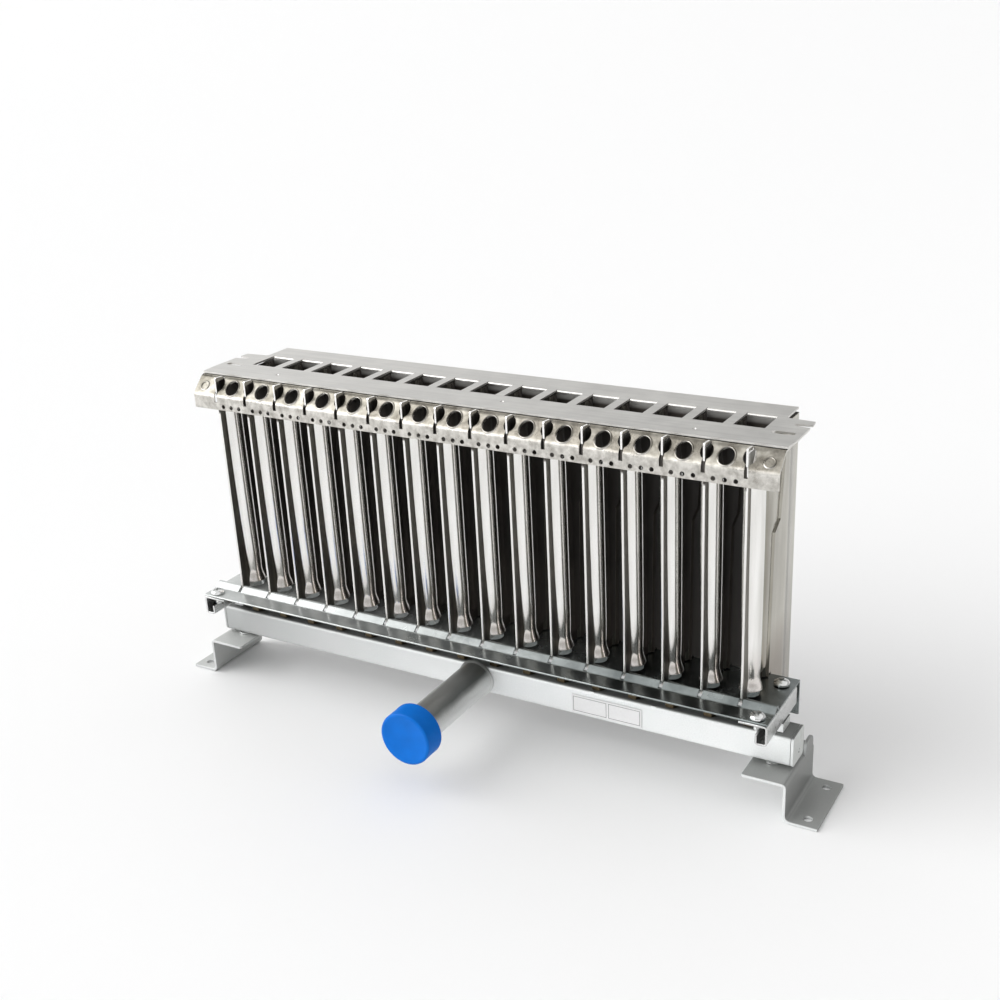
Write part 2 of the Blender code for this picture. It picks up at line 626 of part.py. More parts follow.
# ---------------------------------------------------------------- top plate and rail
def build_top_plate(parent):
    """The end plate over the blades, with a flap pressed down from each window's back edge."""
    half, tab = PLATE_HALF_LENGTH, PLATE_TAB_HALF_LENGTH
    slot_front, slot_back = OPEN_SLOT_Y
    right = [(tab, PLATE_FRONT), (tab, slot_front), (OPEN_SLOT_X, slot_front),
             (OPEN_SLOT_X, slot_back), (tab, slot_back), (tab - 0.5 * MM, PLATE_TAB_BACK),
             (half, PLATE_TAB_BACK), (half, PLATE_BACK)]
    plate = prism(right + [(-x, y) for x, y in right[::-1]], "Z", PLATE_TOP - SHEET, PLATE_TOP)
    windows, flaps = [], []
    flap_top, flap_back = PLATE_TOP - 0.1 * MM, WINDOW_BACK - FLAP_SETBACK
    flap_path = [(WINDOW_BACK + 0.5 * MM, flap_top), (flap_back + MM, flap_top),
                 (flap_back, flap_top - MM), (flap_back, FLAP_BOTTOM)]
    flap_section = flap_path + offset_path(flap_path, -0.9 * SHEET)[::-1]
    for number in range(1, BLADE_COUNT):
        x = blade_x(number) + PITCH / 2
        left_edge, right_edge = x - WINDOW_WIDTH / 2, x + WINDOW_WIDTH / 2
        windows.append(box((left_edge, WINDOW_FRONT, PLATE_TOP - 2 * MM),
                           (right_edge, WINDOW_BACK, PLATE_TOP + MM)))
        flaps.append(prism(flap_section, "X", left_edge + 0.2 * MM, right_edge - 0.2 * MM))
    slots = []
    for side in SIDES.values():
        points = []
        for end, turn in zip(ROUND_SLOT_X, (math.pi / 2, -math.pi / 2)):
            for step in range(5):
                angle = turn + step * math.pi / 4
                points.append((side * (end + ROUND_SLOT_RADIUS * math.cos(angle)),
                               ROUND_SLOT_Y + ROUND_SLOT_RADIUS * math.sin(angle)))
        slots.append(prism(points, "Z", PLATE_TOP - 2 * MM, PLATE_TOP + MM))
    cut_plate = fuse("top_plate", plate, cut=(together(windows), together(slots)))
    opened = bmesh.new()
    opened.from_mesh(cut_plate)
    bpy.data.meshes.remove(cut_plate)
    piece("top_plate", fuse("top_plate", opened, add=(together(flaps),)), satin_stainless(), parent)


def build_front_rail(parent):
    """The folded rail that combs the blades' front seams, with its air holes."""
    ledge_top = PLATE_TOP - SHEET - GAP
    shoulder = RAIL_FRONT + (ledge_top - RAIL_BEND)
    path = [(RAIL_FRONT, RAIL_BOTTOM), (RAIL_FRONT, RAIL_BEND), (shoulder, ledge_top),
            (RAIL_LEDGE_BACK, ledge_top)]
    sheet = bent_sheet(path, RAIL_SHEET, "X", -RAIL_HALF_LENGTH, RAIL_HALF_LENGTH)
    slots, reliefs, holes = [], [], []
    slope_middle = Vector((0.0, (RAIL_FRONT + shoulder) / 2, (RAIL_BEND + ledge_top) / 2))
    tilt = Matrix.Rotation(math.radians(45.0), 4, "X")

    def slope_hole(x, upwards, size, sides):
        """An oval cutter square to the sloping face, moved upwards along the slope."""
        hole = prism([(size[0] * math.cos(a), size[1] * math.sin(a) + upwards)
                      for a in (2 * math.pi * step / sides for step in range(sides))],
                     "Z", -2 * MM, 2 * MM)
        place = Matrix.Translation(slope_middle + Vector((x, 0.0, 0.0))) @ tilt
        bmesh.ops.transform(hole, matrix=place, verts=hole.verts)
        return hole

    for number in range(1, BLADE_COUNT + 1):
        x = blade_x(number)
        slots.append(box((x - SLOT_WIDTH / 2, RAIL_FRONT - MM, SLOT_BOTTOM),
                         (x + SLOT_WIDTH / 2, shoulder + SLOT_OVERRUN, ledge_top + MM)))
        reliefs.append(slope_hole(x, RELIEF_SHIFT, RELIEF_SIZE, 6))
        if number == BLADE_COUNT:
            continue
        holes.append(slope_hole(x + AIR_HOLE_PLACE * PITCH, AIR_HOLE_SHIFT, AIR_HOLE_SIZE, 12))
        holes.extend(prism(circle((x + share * PITCH, SMALL_HOLE_Z), SMALL_HOLE_RADIUS, 6), "Y",
                           RAIL_FRONT - MM, RAIL_FRONT + 2 * MM) for share in SMALL_HOLE_PLACES)
    mesh = fuse("front_rail", sheet, cut=(together(slots), together(reliefs), together(holes)))
    piece("front_rail", mesh, satin_stainless(), parent)


def build_label(parent):
    """The blank rating label on the manifold's front face."""
    label = box((LABEL_X[0], LABEL_Y[0], LABEL_Z[0]), (LABEL_X[1], LABEL_Y[1], LABEL_Z[1]))
    piece("rating_label", as_mesh(label, "rating_label"), white_label(), parent)


# ---------------------------------------------------------------- assembly
def build():
    """Clear the file and put the whole assembly together."""
    for old in list(bpy.data.objects):
        bpy.data.objects.remove(old)
    assembly = bpy.data.objects.new("burner_assembly", None)
    assembly.location = ASSEMBLY_ORIGIN
    bpy.context.scene.collection.objects.link(assembly)
    build_manifold(assembly)
    build_inlet(assembly)
    build_feet(assembly)
    build_jets(assembly)
    build_base_plate(assembly)
    build_end_channels(assembly)
    build_base_screws(assembly)
    build_blades(assembly)
    build_top_plate(assembly)
    build_front_rail(assembly)
    build_label(assembly)


build()
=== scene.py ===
"""Looks of an atmospheric gas burner assembly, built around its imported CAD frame.

Shapes are drawn in millimetres in the assembly's own frame: x runs along the manifold, y is
measured from the manifold's front face and z from its top face.
"""

import math

import bmesh
import bpy
from mathutils import Matrix, Vector


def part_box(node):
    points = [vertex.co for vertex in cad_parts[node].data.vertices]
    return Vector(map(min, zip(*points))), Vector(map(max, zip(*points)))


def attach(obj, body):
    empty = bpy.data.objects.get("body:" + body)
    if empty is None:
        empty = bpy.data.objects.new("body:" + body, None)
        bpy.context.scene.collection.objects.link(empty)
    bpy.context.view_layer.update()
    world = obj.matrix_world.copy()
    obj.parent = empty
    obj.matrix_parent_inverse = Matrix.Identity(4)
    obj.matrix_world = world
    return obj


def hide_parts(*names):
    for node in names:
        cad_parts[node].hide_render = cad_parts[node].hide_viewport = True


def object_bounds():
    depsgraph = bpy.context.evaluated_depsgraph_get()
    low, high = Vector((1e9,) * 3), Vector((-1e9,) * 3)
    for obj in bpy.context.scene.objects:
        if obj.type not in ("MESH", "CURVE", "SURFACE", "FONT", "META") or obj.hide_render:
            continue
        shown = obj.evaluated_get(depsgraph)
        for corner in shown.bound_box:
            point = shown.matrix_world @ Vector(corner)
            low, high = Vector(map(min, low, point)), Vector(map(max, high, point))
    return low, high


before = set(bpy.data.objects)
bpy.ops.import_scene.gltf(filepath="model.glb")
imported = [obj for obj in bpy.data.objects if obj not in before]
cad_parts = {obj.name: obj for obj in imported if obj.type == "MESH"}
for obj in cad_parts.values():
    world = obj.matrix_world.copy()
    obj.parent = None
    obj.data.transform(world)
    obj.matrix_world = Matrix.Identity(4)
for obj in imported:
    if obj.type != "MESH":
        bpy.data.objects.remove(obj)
cad_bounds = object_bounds()

MM = 0.001
BODY = "burner"
CAP_BODY = "inlet_cap"
SIDES = {"right": 1, "left": -1}
SHARP_ANGLE = math.radians(32.0)
BEVEL_ANGLE = math.radians(50.0)

TUBE_LOW, TUBE_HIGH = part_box("manifold_tube")
DATUM = Vector((0.0, TUBE_LOW.y, TUBE_HIGH.z))


def span(node):
    """A CAD node's lowest and highest corner in the assembly's frame, in millimetres."""
    low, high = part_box(node)
    return (low - DATUM) / MM, (high - DATUM) / MM


def centre(node):
    """The middle of a CAD node in the assembly's frame, in millimetres."""
    low, high = span(node)
    return (low + high) / 2


BLADE_NAMES = sorted(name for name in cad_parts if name.startswith("burner_blade_"))
JET_NAMES = sorted(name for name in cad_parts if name.startswith("gas_jet_"))
BLADE_X = [centre(name).x for name in BLADE_NAMES]
PITCH = BLADE_X[1] - BLADE_X[0]
BLADE_LOW, BLADE_HIGH = span(BLADE_NAMES[0])
RAIL_LOW, RAIL_HIGH = span("front_rail")
PLATE_LOW, PLATE_HIGH = span("top_plate")
BASE_LOW, BASE_HIGH = span("base_plate")
CHANNEL_LOW, CHANNEL_HIGH = span("end_channel_right")
MANIFOLD_LOW, MANIFOLD_HIGH = span("manifold_tube")
FOOT_LOW, FOOT_HIGH = span("foot_right")
PIPE_LOW, PIPE_HIGH = span("inlet_pipe")
CAP_LOW, CAP_HIGH = span("inlet_cap")
THREAD_LOW, THREAD_HIGH = span("inlet_thread_end")
JET_LOW, JET_HIGH = span(JET_NAMES[0])
VENTURI_Y = centre(JET_NAMES[0]).y

BASE_TOP = 17.0  # upper face of the base plate
SHEET = 1.0  # sheet of the plates and channels
PAST = 1.0  # how far a cutter reaches past the sheet that it cuts


# ---- solids, in millimetres
def circle(middle, radius, segments, radius_2=None):
    """Points of a circle, or of an oval, around a two-number centre."""
    steps = [2 * math.pi * step / segments for step in range(segments)]
    tall = radius if radius_2 is None else radius_2
    return [(middle[0] + radius * math.cos(a), middle[1] + tall * math.sin(a)) for a in steps]


def on_axis(axis, along, a, b):
    """A point from its place along an axis and its two other coordinates, in their usual order."""
    return {"X": (along, a, b), "Y": (a, along, b), "Z": (a, b, along)}[axis]


def prism(outline, axis, start, end):
    """An outline of two-number points, pushed along X, Y or Z from start to end."""
    shape = bmesh.new()
    lower = [shape.verts.new(on_axis(axis, start, a, b)) for a, b in outline]
    upper = [shape.verts.new(on_axis(axis, end, a, b)) for a, b in outline]
    shape.faces.new(lower)
    shape.faces.new(upper[::-1])
    count = len(outline)
    for here in range(count):
        after = (here + 1) % count
        shape.faces.new((lower[here], upper[here], upper[after], lower[after]))
    bmesh.ops.recalc_face_normals(shape, faces=shape.faces)
    return shape


def rectangle(low, high):
    """The outline between two corners."""
    return [(low[0], low[1]), (high[0], low[1]), (high[0], high[1]), (low[0], high[1])]


def box(low, high):
    """A closed box between two corners."""
    return prism(rectangle(low, high), "Z", low[2], high[2])


def rod(middle, radius, segments, axis, start, end):
    """A round bar along an axis."""
    return prism(circle(middle, radius, segments), axis, start, end)


def stitched(shape, rings):
    """Join each ring of points to the next by faces, and the last ring to the first."""
    for below, above in zip(rings, rings[1:] + rings[:1]):
        for here in range(len(below)):
            after = (here + 1) % len(below)
            corners = []
            for corner in (below[here], below[after], above[after], above[here]):
                if corner not in corners:
                    corners.append(corner)
            if len(corners) > 2:
                shape.faces.new(corners)
    bmesh.ops.recalc_face_normals(shape, faces=shape.faces)
    return shape


def turned(profile, segments, axis="Z", middle=(0.0, 0.0)):
    """A closed (along, radius) section turned about an axis through middle."""
    shape = bmesh.new()
    rings = []
    for along, radius in profile:
        if radius < 1e-6:
            rings.append([shape.verts.new(on_axis(axis, along, *middle))] * segments)
            continue
        rings.append([shape.verts.new(on_axis(axis, along, a, b))
                      for a, b in circle(middle, radius, segments)])
    return stitched(shape, rings)


def oval_rim(section, middle, radii, segments, height=0.0):
    """A rim around an oval: its section holds places outwards from the oval and upwards from height."""
    shape = bmesh.new()
    return stitched(shape, [[shape.verts.new((a, b, height + up))
                             for a, b in circle(middle, radii[0] + outwards, segments, radii[1] + outwards)]
                            for outwards, up in section])


def rounded(points, radius, closed=False, steps=5):
    """A path or outline with each corner replaced by an arc-like curve of that radius."""
    made = []
    count = len(points)
    for index, point in enumerate(points):
        if not closed and index in (0, count - 1):
            made.append(tuple(point))
            continue
        here = Vector(point)
        before, after = Vector(points[index - 1]), Vector(points[(index + 1) % count])
        reach = min(radius, (before - here).length * 0.49, (after - here).length * 0.49)
        start = here + (before - here).normalized() * reach
        end = here + (after - here).normalized() * reach
        for step in range(steps + 1):
            t = step / steps
            made.append(tuple(start * (1 - t) ** 2 + here * 2 * t * (1 - t) + end * t ** 2))
    return made


def offset_path(path, thickness):
    """The same open path, moved by thickness to its right-hand side with mitred corners."""
    points = [Vector(point) for point in path]
    moved = []
    for index, point in enumerate(points):
        normals = []
        for first, second in ((index - 1, index), (index, index + 1)):
            if first >= 0 and second < len(points):
                along = (points[second] - points[first]).normalized()
                normals.append(Vector((along.y, -along.x)))
        middle = sum(normals, Vector((0.0, 0.0))).normalized()
        moved.append(tuple(point + middle * thickness / middle.dot(normals[0])))
    return moved


def bent_sheet(path, thickness, axis, start, end):
    """A folded sheet: the path is one face of its section, the other lies to its right."""
    return prism(path + offset_path(path, thickness)[::-1], axis, start, end)


def mirrored(shape):
    """The same solid on the other side of the YZ plane."""
    bmesh.ops.transform(shape, matrix=Matrix.Scale(-1.0, 4, (1.0, 0.0, 0.0)), verts=shape.verts)
    bmesh.ops.reverse_faces(shape, faces=shape.faces)
    return shape


def moved(shape, matrix):
    """The same solid, moved and turned by a matrix."""
    bmesh.ops.transform(shape, matrix=matrix, verts=shape.verts)
    return shape


def together(shapes):
    """Several solids in one mesh."""
    whole = bmesh.new()
    for shape in shapes:
        part = bpy.data.meshes.new("part")
        shape.to_mesh(part)
        shape.free()
        whole.from_mesh(part)
        bpy.data.meshes.remove(part)
    return whole


def put(name, data):
    """A new object in the scene."""
    made = bpy.data.objects.new(name, data)
    bpy.context.scene.collection.objects.link(made)
    return made


def cut(body, *cutters):
    """body with the cutters taken away from it."""
    helpers = []
    for shape in (body, *cutters):
        mesh = bpy.data.meshes.new("work")
        shape.to_mesh(mesh)
        shape.free()
        helpers.append(put("work", mesh))
    for helper in helpers[1:]:
        step = helpers[0].modifiers.new("cut", "BOOLEAN")
        step.operation = "DIFFERENCE"
        step.object = helper
    evaluated = helpers[0].evaluated_get(bpy.context.evaluated_depsgraph_get())
    made = bmesh.new()
    made.from_mesh(evaluated.to_mesh())
    for helper in helpers:
        bpy.data.meshes.remove(helper.data)
    bmesh.ops.dissolve_degenerate(made, dist=1e-4, edges=made.edges)
    return made


def as_mesh(name, shape, looks):
    """A mesh in metres with its materials; a face keeps its own material number."""
    mesh = bpy.data.meshes.new(name)
    bmesh.ops.scale(shape, vec=(MM, MM, MM), verts=shape.verts)
    shape.to_mesh(mesh)
    shape.free()
    for look in looks:
        mesh.materials.append(look)
    mesh.shade_smooth()
    mesh.set_sharp_from_angle(angle=SHARP_ANGLE)
    return mesh


def show(node, mesh, slot, at=(0.0, 0.0, 0.0), body=BODY, bevel=0.0):
    """Put a piece in place of its CAD node. at and bevel are in millimetres."""
    made = put(f"look_{node}", mesh)
    made.location = DATUM + Vector(at) * MM
    if bevel:
        edge = made.modifiers.new("edge", "BEVEL")
        edge.width = bevel * MM
        edge.segments = 1
        edge.limit_method = "ANGLE"
        edge.angle_limit = BEVEL_ANGLE
    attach(made, body)
    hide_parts(node)
    return made


def show_shape(node, shape, looks, slot, **more):
    """Put a solid that is used once in place of its CAD node."""
    return show(node, as_mesh(node, shape, looks), slot, **more)


# ---- materials
# Where heat tints, painted light and painted shade begin and end on the part, in metres
HEAT_TINT_Z = (0.045, 0.018)
GAP_SHADE_Y = (0.0075, 0.0095)
OUTER_SIDE_SHADE_Y = (0.006, 0.011)
FLAP_SHADE_Z = (0.1414, 0.1385)
RAIL_SLOPE_SHADE_X = (-0.17, 0.02)
BASE_REFLECTION_X = (-0.19, 0.10)
PAINT_LIGHT_X = (-0.18, 0.18)


class Tree:
    """A node tree under construction, driven by the place on an object or by a direction in the world."""

    def __init__(self, tree, place="Object"):
        self.nodes, self.links = tree.nodes, tree.links
        coordinates = self.nodes.new("ShaderNodeTexCoord").outputs
        self.place, self.direction = coordinates[place], coordinates["Normal"]

    def feed(self, socket, value):
        """Link a socket to another, or set it to a number or to a colour's three numbers."""
        if isinstance(value, bpy.types.NodeSocket):
            self.links.new(value, socket)
        elif isinstance(value, (int, float)):
            socket.default_value = value
        else:
            socket.default_value = (*value, 1.0)

    def node(self, kind, **inputs):
        """A new node with its inputs fed; an underscore stands for a space in an input's name."""
        node = self.nodes.new(f"ShaderNode{kind}")
        for name, value in inputs.items():
            self.feed(node.inputs[name.replace("_", " ")], value)
        return node

    def noise(self, scale, detail=3.0, stretch=(1.0, 1.0, 1.0), roughness=0.5):
        """A noise factor; a small number in stretch draws it out along that axis."""
        mapping = self.node("Mapping", Vector=self.place)
        mapping.inputs["Scale"].default_value = stretch
        return self.node("TexNoise", Scale=scale, Detail=detail, Roughness=roughness,
                         Vector=mapping.outputs["Vector"]).outputs["Fac"]

    def ramp(self, factor, stops):
        """Map a factor through (position, colour or grey) stops."""
        node = self.node("ValToRGB", Fac=factor)
        elements = node.color_ramp.elements
        while len(elements) < len(stops):
            elements.new(0.5)
        for element, (position, colour) in zip(elements, stops):
            element.position = position
            value = (colour,) * 3 if isinstance(colour, (int, float)) else colour
            element.color = (*value, 1.0)
        return node.outputs["Color"]

    def blend(self, factor, first, second, low=0.3, high=0.7):
        """Map a factor from low..high to first..second, each a colour or a grey."""
        return self.ramp(factor, [(low, first), (high, second)])

    def axis(self, name):
        """The place along an axis of the object."""
        return self.node("SeparateXYZ", Vector=self.place).outputs[name]

    def facing(self, name):
        """How far the surface faces along an axis of the object."""
        return self.node("SeparateXYZ", Vector=self.direction).outputs[name]

    def span(self, value, low, high):
        """A value mapped from low..high to 0..1."""
        return self.node("MapRange", Value=value, From_Min=low, From_Max=high).outputs["Result"]

    def mix(self, kind, factor, first, second):
        """Blend two colours."""
        node = self.nodes.new("ShaderNodeMix")
        node.data_type = "RGBA"
        node.blend_type = kind
        for socket, value in ((0, factor), (6, first), (7, second)):
            self.feed(node.inputs[socket], value)
        return node.outputs[2]

    def math(self, kind, first, second):
        """Combine two values."""
        node = self.nodes.new("ShaderNodeMath")
        node.operation = kind
        for socket, value in enumerate((first, second)):
            self.feed(node.inputs[socket], value)
        return node.outputs[0]


class Look(Tree):
    """A Principled material under construction."""

    def __init__(self, name, colour, roughness, metallic=1.0):
        self.material = bpy.data.materials.new(name)
        self.material.use_nodes = True
        super().__init__(self.material.node_tree)
        self.shader = self.nodes["Principled BSDF"]
        for name, value in (("Base Color", colour), ("Roughness", roughness), ("Metallic", metallic)):
            self.feed(self.shader.inputs[name], value)

    def paint(self, colour):
        """Link the base colour."""
        self.feed(self.shader.inputs["Base Color"], colour)

    def polish(self, roughness):
        """Link the roughness."""
        self.feed(self.shader.inputs["Roughness"], roughness)

    def metal(self, metallic):
        """Link how far the surface is bare metal."""
        self.feed(self.shader.inputs["Metallic"], metallic)

    def bumps(self, *layers):
        """Bump from (height, distance in millimetres, strength) layers."""
        normal = None
        for height, distance, strength in layers:
            node = self.node("Bump", Distance=distance * MM, Strength=strength, Height=height)
            if normal is not None:
                self.feed(node.inputs["Normal"], normal)
            normal = node.outputs["Normal"]
        self.feed(self.shader.inputs["Normal"], normal)


def blade_steel(name, gap_shade):
    """Bright rolled stainless with drawing streaks and heat tints; gap_shade paints near-black shade in the
    gaps between blades and behind the rail, otherwise the outer side gets painted shade.
    """
    look = Look(name, (0.7, 0.68, 0.64), 0.2)
    streak = look.noise(260.0, 4.0, (1.0, 1.0, 0.05))
    cloud = look.noise(38.0, 4.0, (1.0, 1.0, 0.5))
    clean = look.blend(streak, (0.74, 0.73, 0.70), (0.93, 0.92, 0.90), 0.3, 0.6)
    height = look.axis("Z")
    patchy = look.blend(cloud, 0.1, 1.0, 0.35, 0.7)
    tint = look.math("MULTIPLY", look.span(height, *HEAT_TINT_Z), patchy)
    colour = look.mix("MIX", look.math("MULTIPLY", tint, 0.8), clean, (0.36, 0.27, 0.22))
    polish = look.blend(streak, 0.13, 0.28, 0.25, 0.75)
    if gap_shade:
        # Painted shade: the walls of the gaps between blades and the blades' upper part behind the rail turn
        # near-black, rough and not metal
        behind = look.span(look.axis("Y"), *GAP_SHADE_Y)
        above = look.span(height, (RAIL_LOW.z - 2.8) * MM, (RAIL_LOW.z - 1.6) * MM)
        hidden = look.math("MAXIMUM", behind, look.math("MULTIPLY", above, 0.95))
        wall_shade = look.blend(cloud, (0.02, 0.017, 0.014), (0.10, 0.086, 0.073), 0.3, 0.75)
        colour = look.mix("MIX", hidden, colour, wall_shade)
        polish = look.mix("MIX", hidden, polish, (0.85, 0.85, 0.85))
        look.metal(look.math("SUBTRACT", 1.0, hidden))
    else:
        # Painted shade darkens the outer side behind the venturi
        side = look.span(look.axis("Y"), *OUTER_SIDE_SHADE_Y)
        shade = look.blend(cloud, (0.36, 0.345, 0.31), (0.60, 0.585, 0.53))
        colour = look.mix("MULTIPLY", side, colour, shade)
    look.paint(colour)
    look.polish(polish)
    look.bumps((streak, 0.05, 0.35), (cloud, 0.5, 0.25))
    return look.material


def web_shade_steel():
    """The flat web in front of a venturi and the groove before the bead, in a dark olive painted shade."""
    look = Look("stainless_web_painted_shade", (0.12, 0.115, 0.10), 0.4)
    streak = look.noise(260.0, 4.0, (1.0, 1.0, 0.05))
    look.paint(look.blend(streak, (0.06, 0.057, 0.048), (0.20, 0.19, 0.165), 0.3, 0.65))
    look.polish(look.blend(streak, 0.3, 0.45))
    return look.material


def plate_steel():
    """Satin stainless sheet with faint rolling lines along x and handling marks; the flaps bent down under
    it carry near-black painted shade that is not metal.
    """
    look = Look("satin_stainless_sheet", (0.62, 0.61, 0.58), 0.36)
    lines = look.noise(420.0, 3.0, (0.03, 1.0, 1.0))
    cloud = look.noise(55.0, 5.0, roughness=0.6)
    marks = look.noise(700.0, 2.0)
    base = look.blend(cloud, (0.60, 0.59, 0.565), (0.76, 0.75, 0.72))
    base = look.mix("MULTIPLY", 0.35, base, look.blend(lines, 0.7, 1.0))
    # Painted shade: near-black on the flaps that hang below the plate
    hidden = look.span(look.axis("Z"), *FLAP_SHADE_Z)
    flap_shade = look.blend(cloud, (0.02, 0.017, 0.014), (0.06, 0.05, 0.042))
    look.paint(look.mix("MIX", hidden, base, flap_shade))
    look.metal(look.math("SUBTRACT", 1.0, hidden))
    look.polish(look.blend(cloud, 0.28, 0.46, 0.25, 0.75))
    look.bumps((lines, 0.03, 0.3), (marks, 0.03, 0.25), (cloud, 0.6, 0.12))
    return look.material


def rail_steel():
    """Pressed stainless, brighter than the plate and crinkled where it was drawn; its upward faces carry
    painted shade with lighter patches.
    """
    look = Look("pressed_stainless_rail", (0.7, 0.68, 0.65), 0.25)
    crinkle = look.noise(230.0, 5.0, roughness=0.6)
    cloud = look.noise(70.0, 4.0)
    base = look.blend(crinkle, (0.33, 0.315, 0.285), (0.68, 0.66, 0.62), 0.3, 0.62)
    # Painted shade on the upward faces, hardly changing along x, with lighter patches
    slope = look.span(look.facing("Z"), 0.2, 0.6)
    along = look.span(look.axis("X"), *RAIL_SLOPE_SHADE_X)
    shaded = look.blend(along, (0.40, 0.39, 0.355), (0.38, 0.365, 0.335), 0.0, 1.0)
    shaded = look.mix("MIX", look.blend(cloud, 0.0, 1.0, 0.5, 0.68), shaded, (0.8, 0.79, 0.75))
    look.paint(look.mix("MULTIPLY", slope, base, shaded))
    look.polish(look.blend(cloud, 0.2, 0.36))
    look.bumps((crinkle, 0.35, 0.3), (cloud, 0.8, 0.3))
    return look.material


def galvanised_steel():
    """Glossy dark galvanised sheet with a cloudy, slightly green bloom; a painted reflection makes it
    lighter and less metallic towards -X.
    """
    look = Look("dark_galvanised_sheet", (0.3, 0.32, 0.32), 0.2)
    cloud = look.noise(60.0, 5.0, (1.0, 1.0, 1.0), 0.6)
    fine = look.noise(500.0, 2.0)
    # Painted reflection: lighter and less metallic towards -X, the sheet's own dark colour towards +X
    along = look.span(look.axis("X"), *BASE_REFLECTION_X)
    reflected_light = look.blend(cloud, (0.52, 0.54, 0.53), (0.74, 0.76, 0.75))
    dark = look.blend(cloud, (0.17, 0.19, 0.19), (0.33, 0.36, 0.355))
    look.paint(look.mix("MIX", along, reflected_light, dark))
    look.metal(look.blend(along, 0.35, 1.0, 0.0, 1.0))
    look.polish(look.blend(cloud, 0.18, 0.32, 0.3, 0.75))
    look.bumps((fine, 0.02, 0.2), (cloud, 0.4, 0.12))
    return look.material


def zinc(name, light, roughness):
    """Zinc plating with fine grain."""
    look = Look(name, (light, light, light * 0.98), roughness)
    grain = look.noise(650.0, 3.0)
    cloud = look.noise(120.0, 3.0)
    look.paint(look.blend(cloud, (light * 0.8, light * 0.82, light * 0.8), (light,) * 3))
    look.polish(look.blend(grain, roughness * 0.8, roughness * 1.3))
    look.bumps((grain, 0.02, 0.25), (cloud, 0.3, 0.12))
    return look.material


def silver_paint(name, left, right, shade_up, shade_side):
    """Silver-grey paint over steel, with painted light and shade from one end and one face to another.

    left and right are its painted lightness at the two ends, shade_up and shade_side what painted shade
    leaves of it on upper faces and on faces to the right.
    """
    look = Look(name, (0.62, 0.64, 0.64), 0.42, 0.3)
    sparkle = look.noise(1800.0, 2.0)
    peel = look.noise(340.0, 2.0)
    cloud = look.noise(26.0, 4.0)
    # Painted light: lightness goes from left at the -X end to right towards +X
    along = look.span(look.axis("X"), *PAINT_LIGHT_X)
    ends = look.ramp(along, [(0.0, left), (0.55, right), (1.0, right)])
    bloom = look.blend(cloud, (0.93, 0.96, 0.95), (0.99, 1.0, 1.0))
    base = look.mix("MULTIPLY", 1.0, ends, bloom)
    base = look.mix("MULTIPLY", 0.5, base, look.blend(sparkle, 0.82, 1.0, 0.35, 0.65))
    # Painted shade on upper faces and on faces to the right
    up = look.span(look.facing("Z"), 0.55, 0.9)
    side = look.span(look.facing("X"), 0.3, 0.85)
    base = look.mix("MULTIPLY", up, base, (shade_up, shade_up, shade_up * 0.98))
    base = look.mix("MULTIPLY", side, base, (shade_side, shade_side, shade_side * 0.98))
    look.paint(base)
    look.polish(look.blend(sparkle, 0.34, 0.5))
    look.bumps((peel, 0.03, 0.3))
    return look.material


def pipe_paint():
    """The manifold's paint on the pipe, with painted shade on top and to the left and painted light
    underneath on the right.
    """
    look = Look("silver_paint_pipe", (0.62, 0.64, 0.64), 0.4, 0.45)
    sparkle = look.noise(1800.0, 2.0)
    cloud = look.noise(60.0, 4.0)
    # Painted light and shade by where a face turns: dark facing up and to -X, light facing down and to +X
    turn = look.math("SUBTRACT", look.facing("Z"), look.facing("X"))
    turn = look.math("ADD", turn, look.math("MULTIPLY", cloud, 0.5))
    base = look.ramp(look.span(turn, -0.9, 0.9), [(0.0, (0.88, 0.89, 0.88)), (0.3, (0.62, 0.63, 0.62)),
                                                   (0.6, (0.20, 0.21, 0.205)), (1.0, (0.25, 0.25, 0.24))])
    look.paint(look.mix("MULTIPLY", 0.5, base, look.blend(sparkle, 0.82, 1.0, 0.35, 0.65)))
    look.polish(look.blend(sparkle, 0.3, 0.45))
    look.bumps((cloud, 0.2, 0.15))
    return look.material


def brass():
    """Turned brass with fine tool rings, darkened all over as painted shade from the base plate above it."""
    look = Look("turned_brass", (0.3, 0.22, 0.12), 0.4)
    rings = look.noise(900.0, 2.0, (0.2, 0.2, 1.0))
    # Painted shade: the whole jet is coloured dark for the shade under the base plate
    look.paint(look.blend(rings, (0.075, 0.06, 0.038), (0.15, 0.115, 0.065)))
    look.bumps((rings, 0.02, 0.4))
    return look.material


def blue_plastic():
    """Soft moulded polythene: saturated blue, a faint mottle and fine mould grain."""
    look = Look("blue_polythene", (0.0, 0.15, 0.72), 0.42, 0.0)
    look.shader.inputs["Specular IOR Level"].default_value = 0.12
    look.shader.inputs["Subsurface Weight"].default_value = 0.08
    look.shader.inputs["Subsurface Radius"].default_value = (0.001, 0.002, 0.004)
    cloud = look.noise(90.0, 3.0)
    grain = look.noise(900.0, 2.0)
    look.paint(look.blend(cloud, (0.0015, 0.13, 0.52), (0.002, 0.155, 0.62)))
    look.polish(look.blend(grain, 0.32, 0.46))
    look.bumps((grain, 0.02, 0.3), (cloud, 0.3, 0.1))
    return look.material


def label_film(name, light):
    """Printed film with a faint fibre texture."""
    look = Look(name, (light,) * 3, 0.4, 0.0)
    fibre = look.noise(700.0, 4.0)
    look.paint(look.blend(fibre, (light * 0.95,) * 3, (light,) * 3))
    look.bumps((fibre, 0.01, 0.2))
    return look.material


def port_dark():
    """Near-black painted shade for what is seen down inside an opening."""
    look = Look("painted_shade_inside", (0.03, 0.027, 0.025), 0.6)
    cloud = look.noise(300.0, 3.0)
    look.paint(look.blend(cloud, (0.015, 0.013, 0.012), (0.06, 0.052, 0.046)))
    return look.material


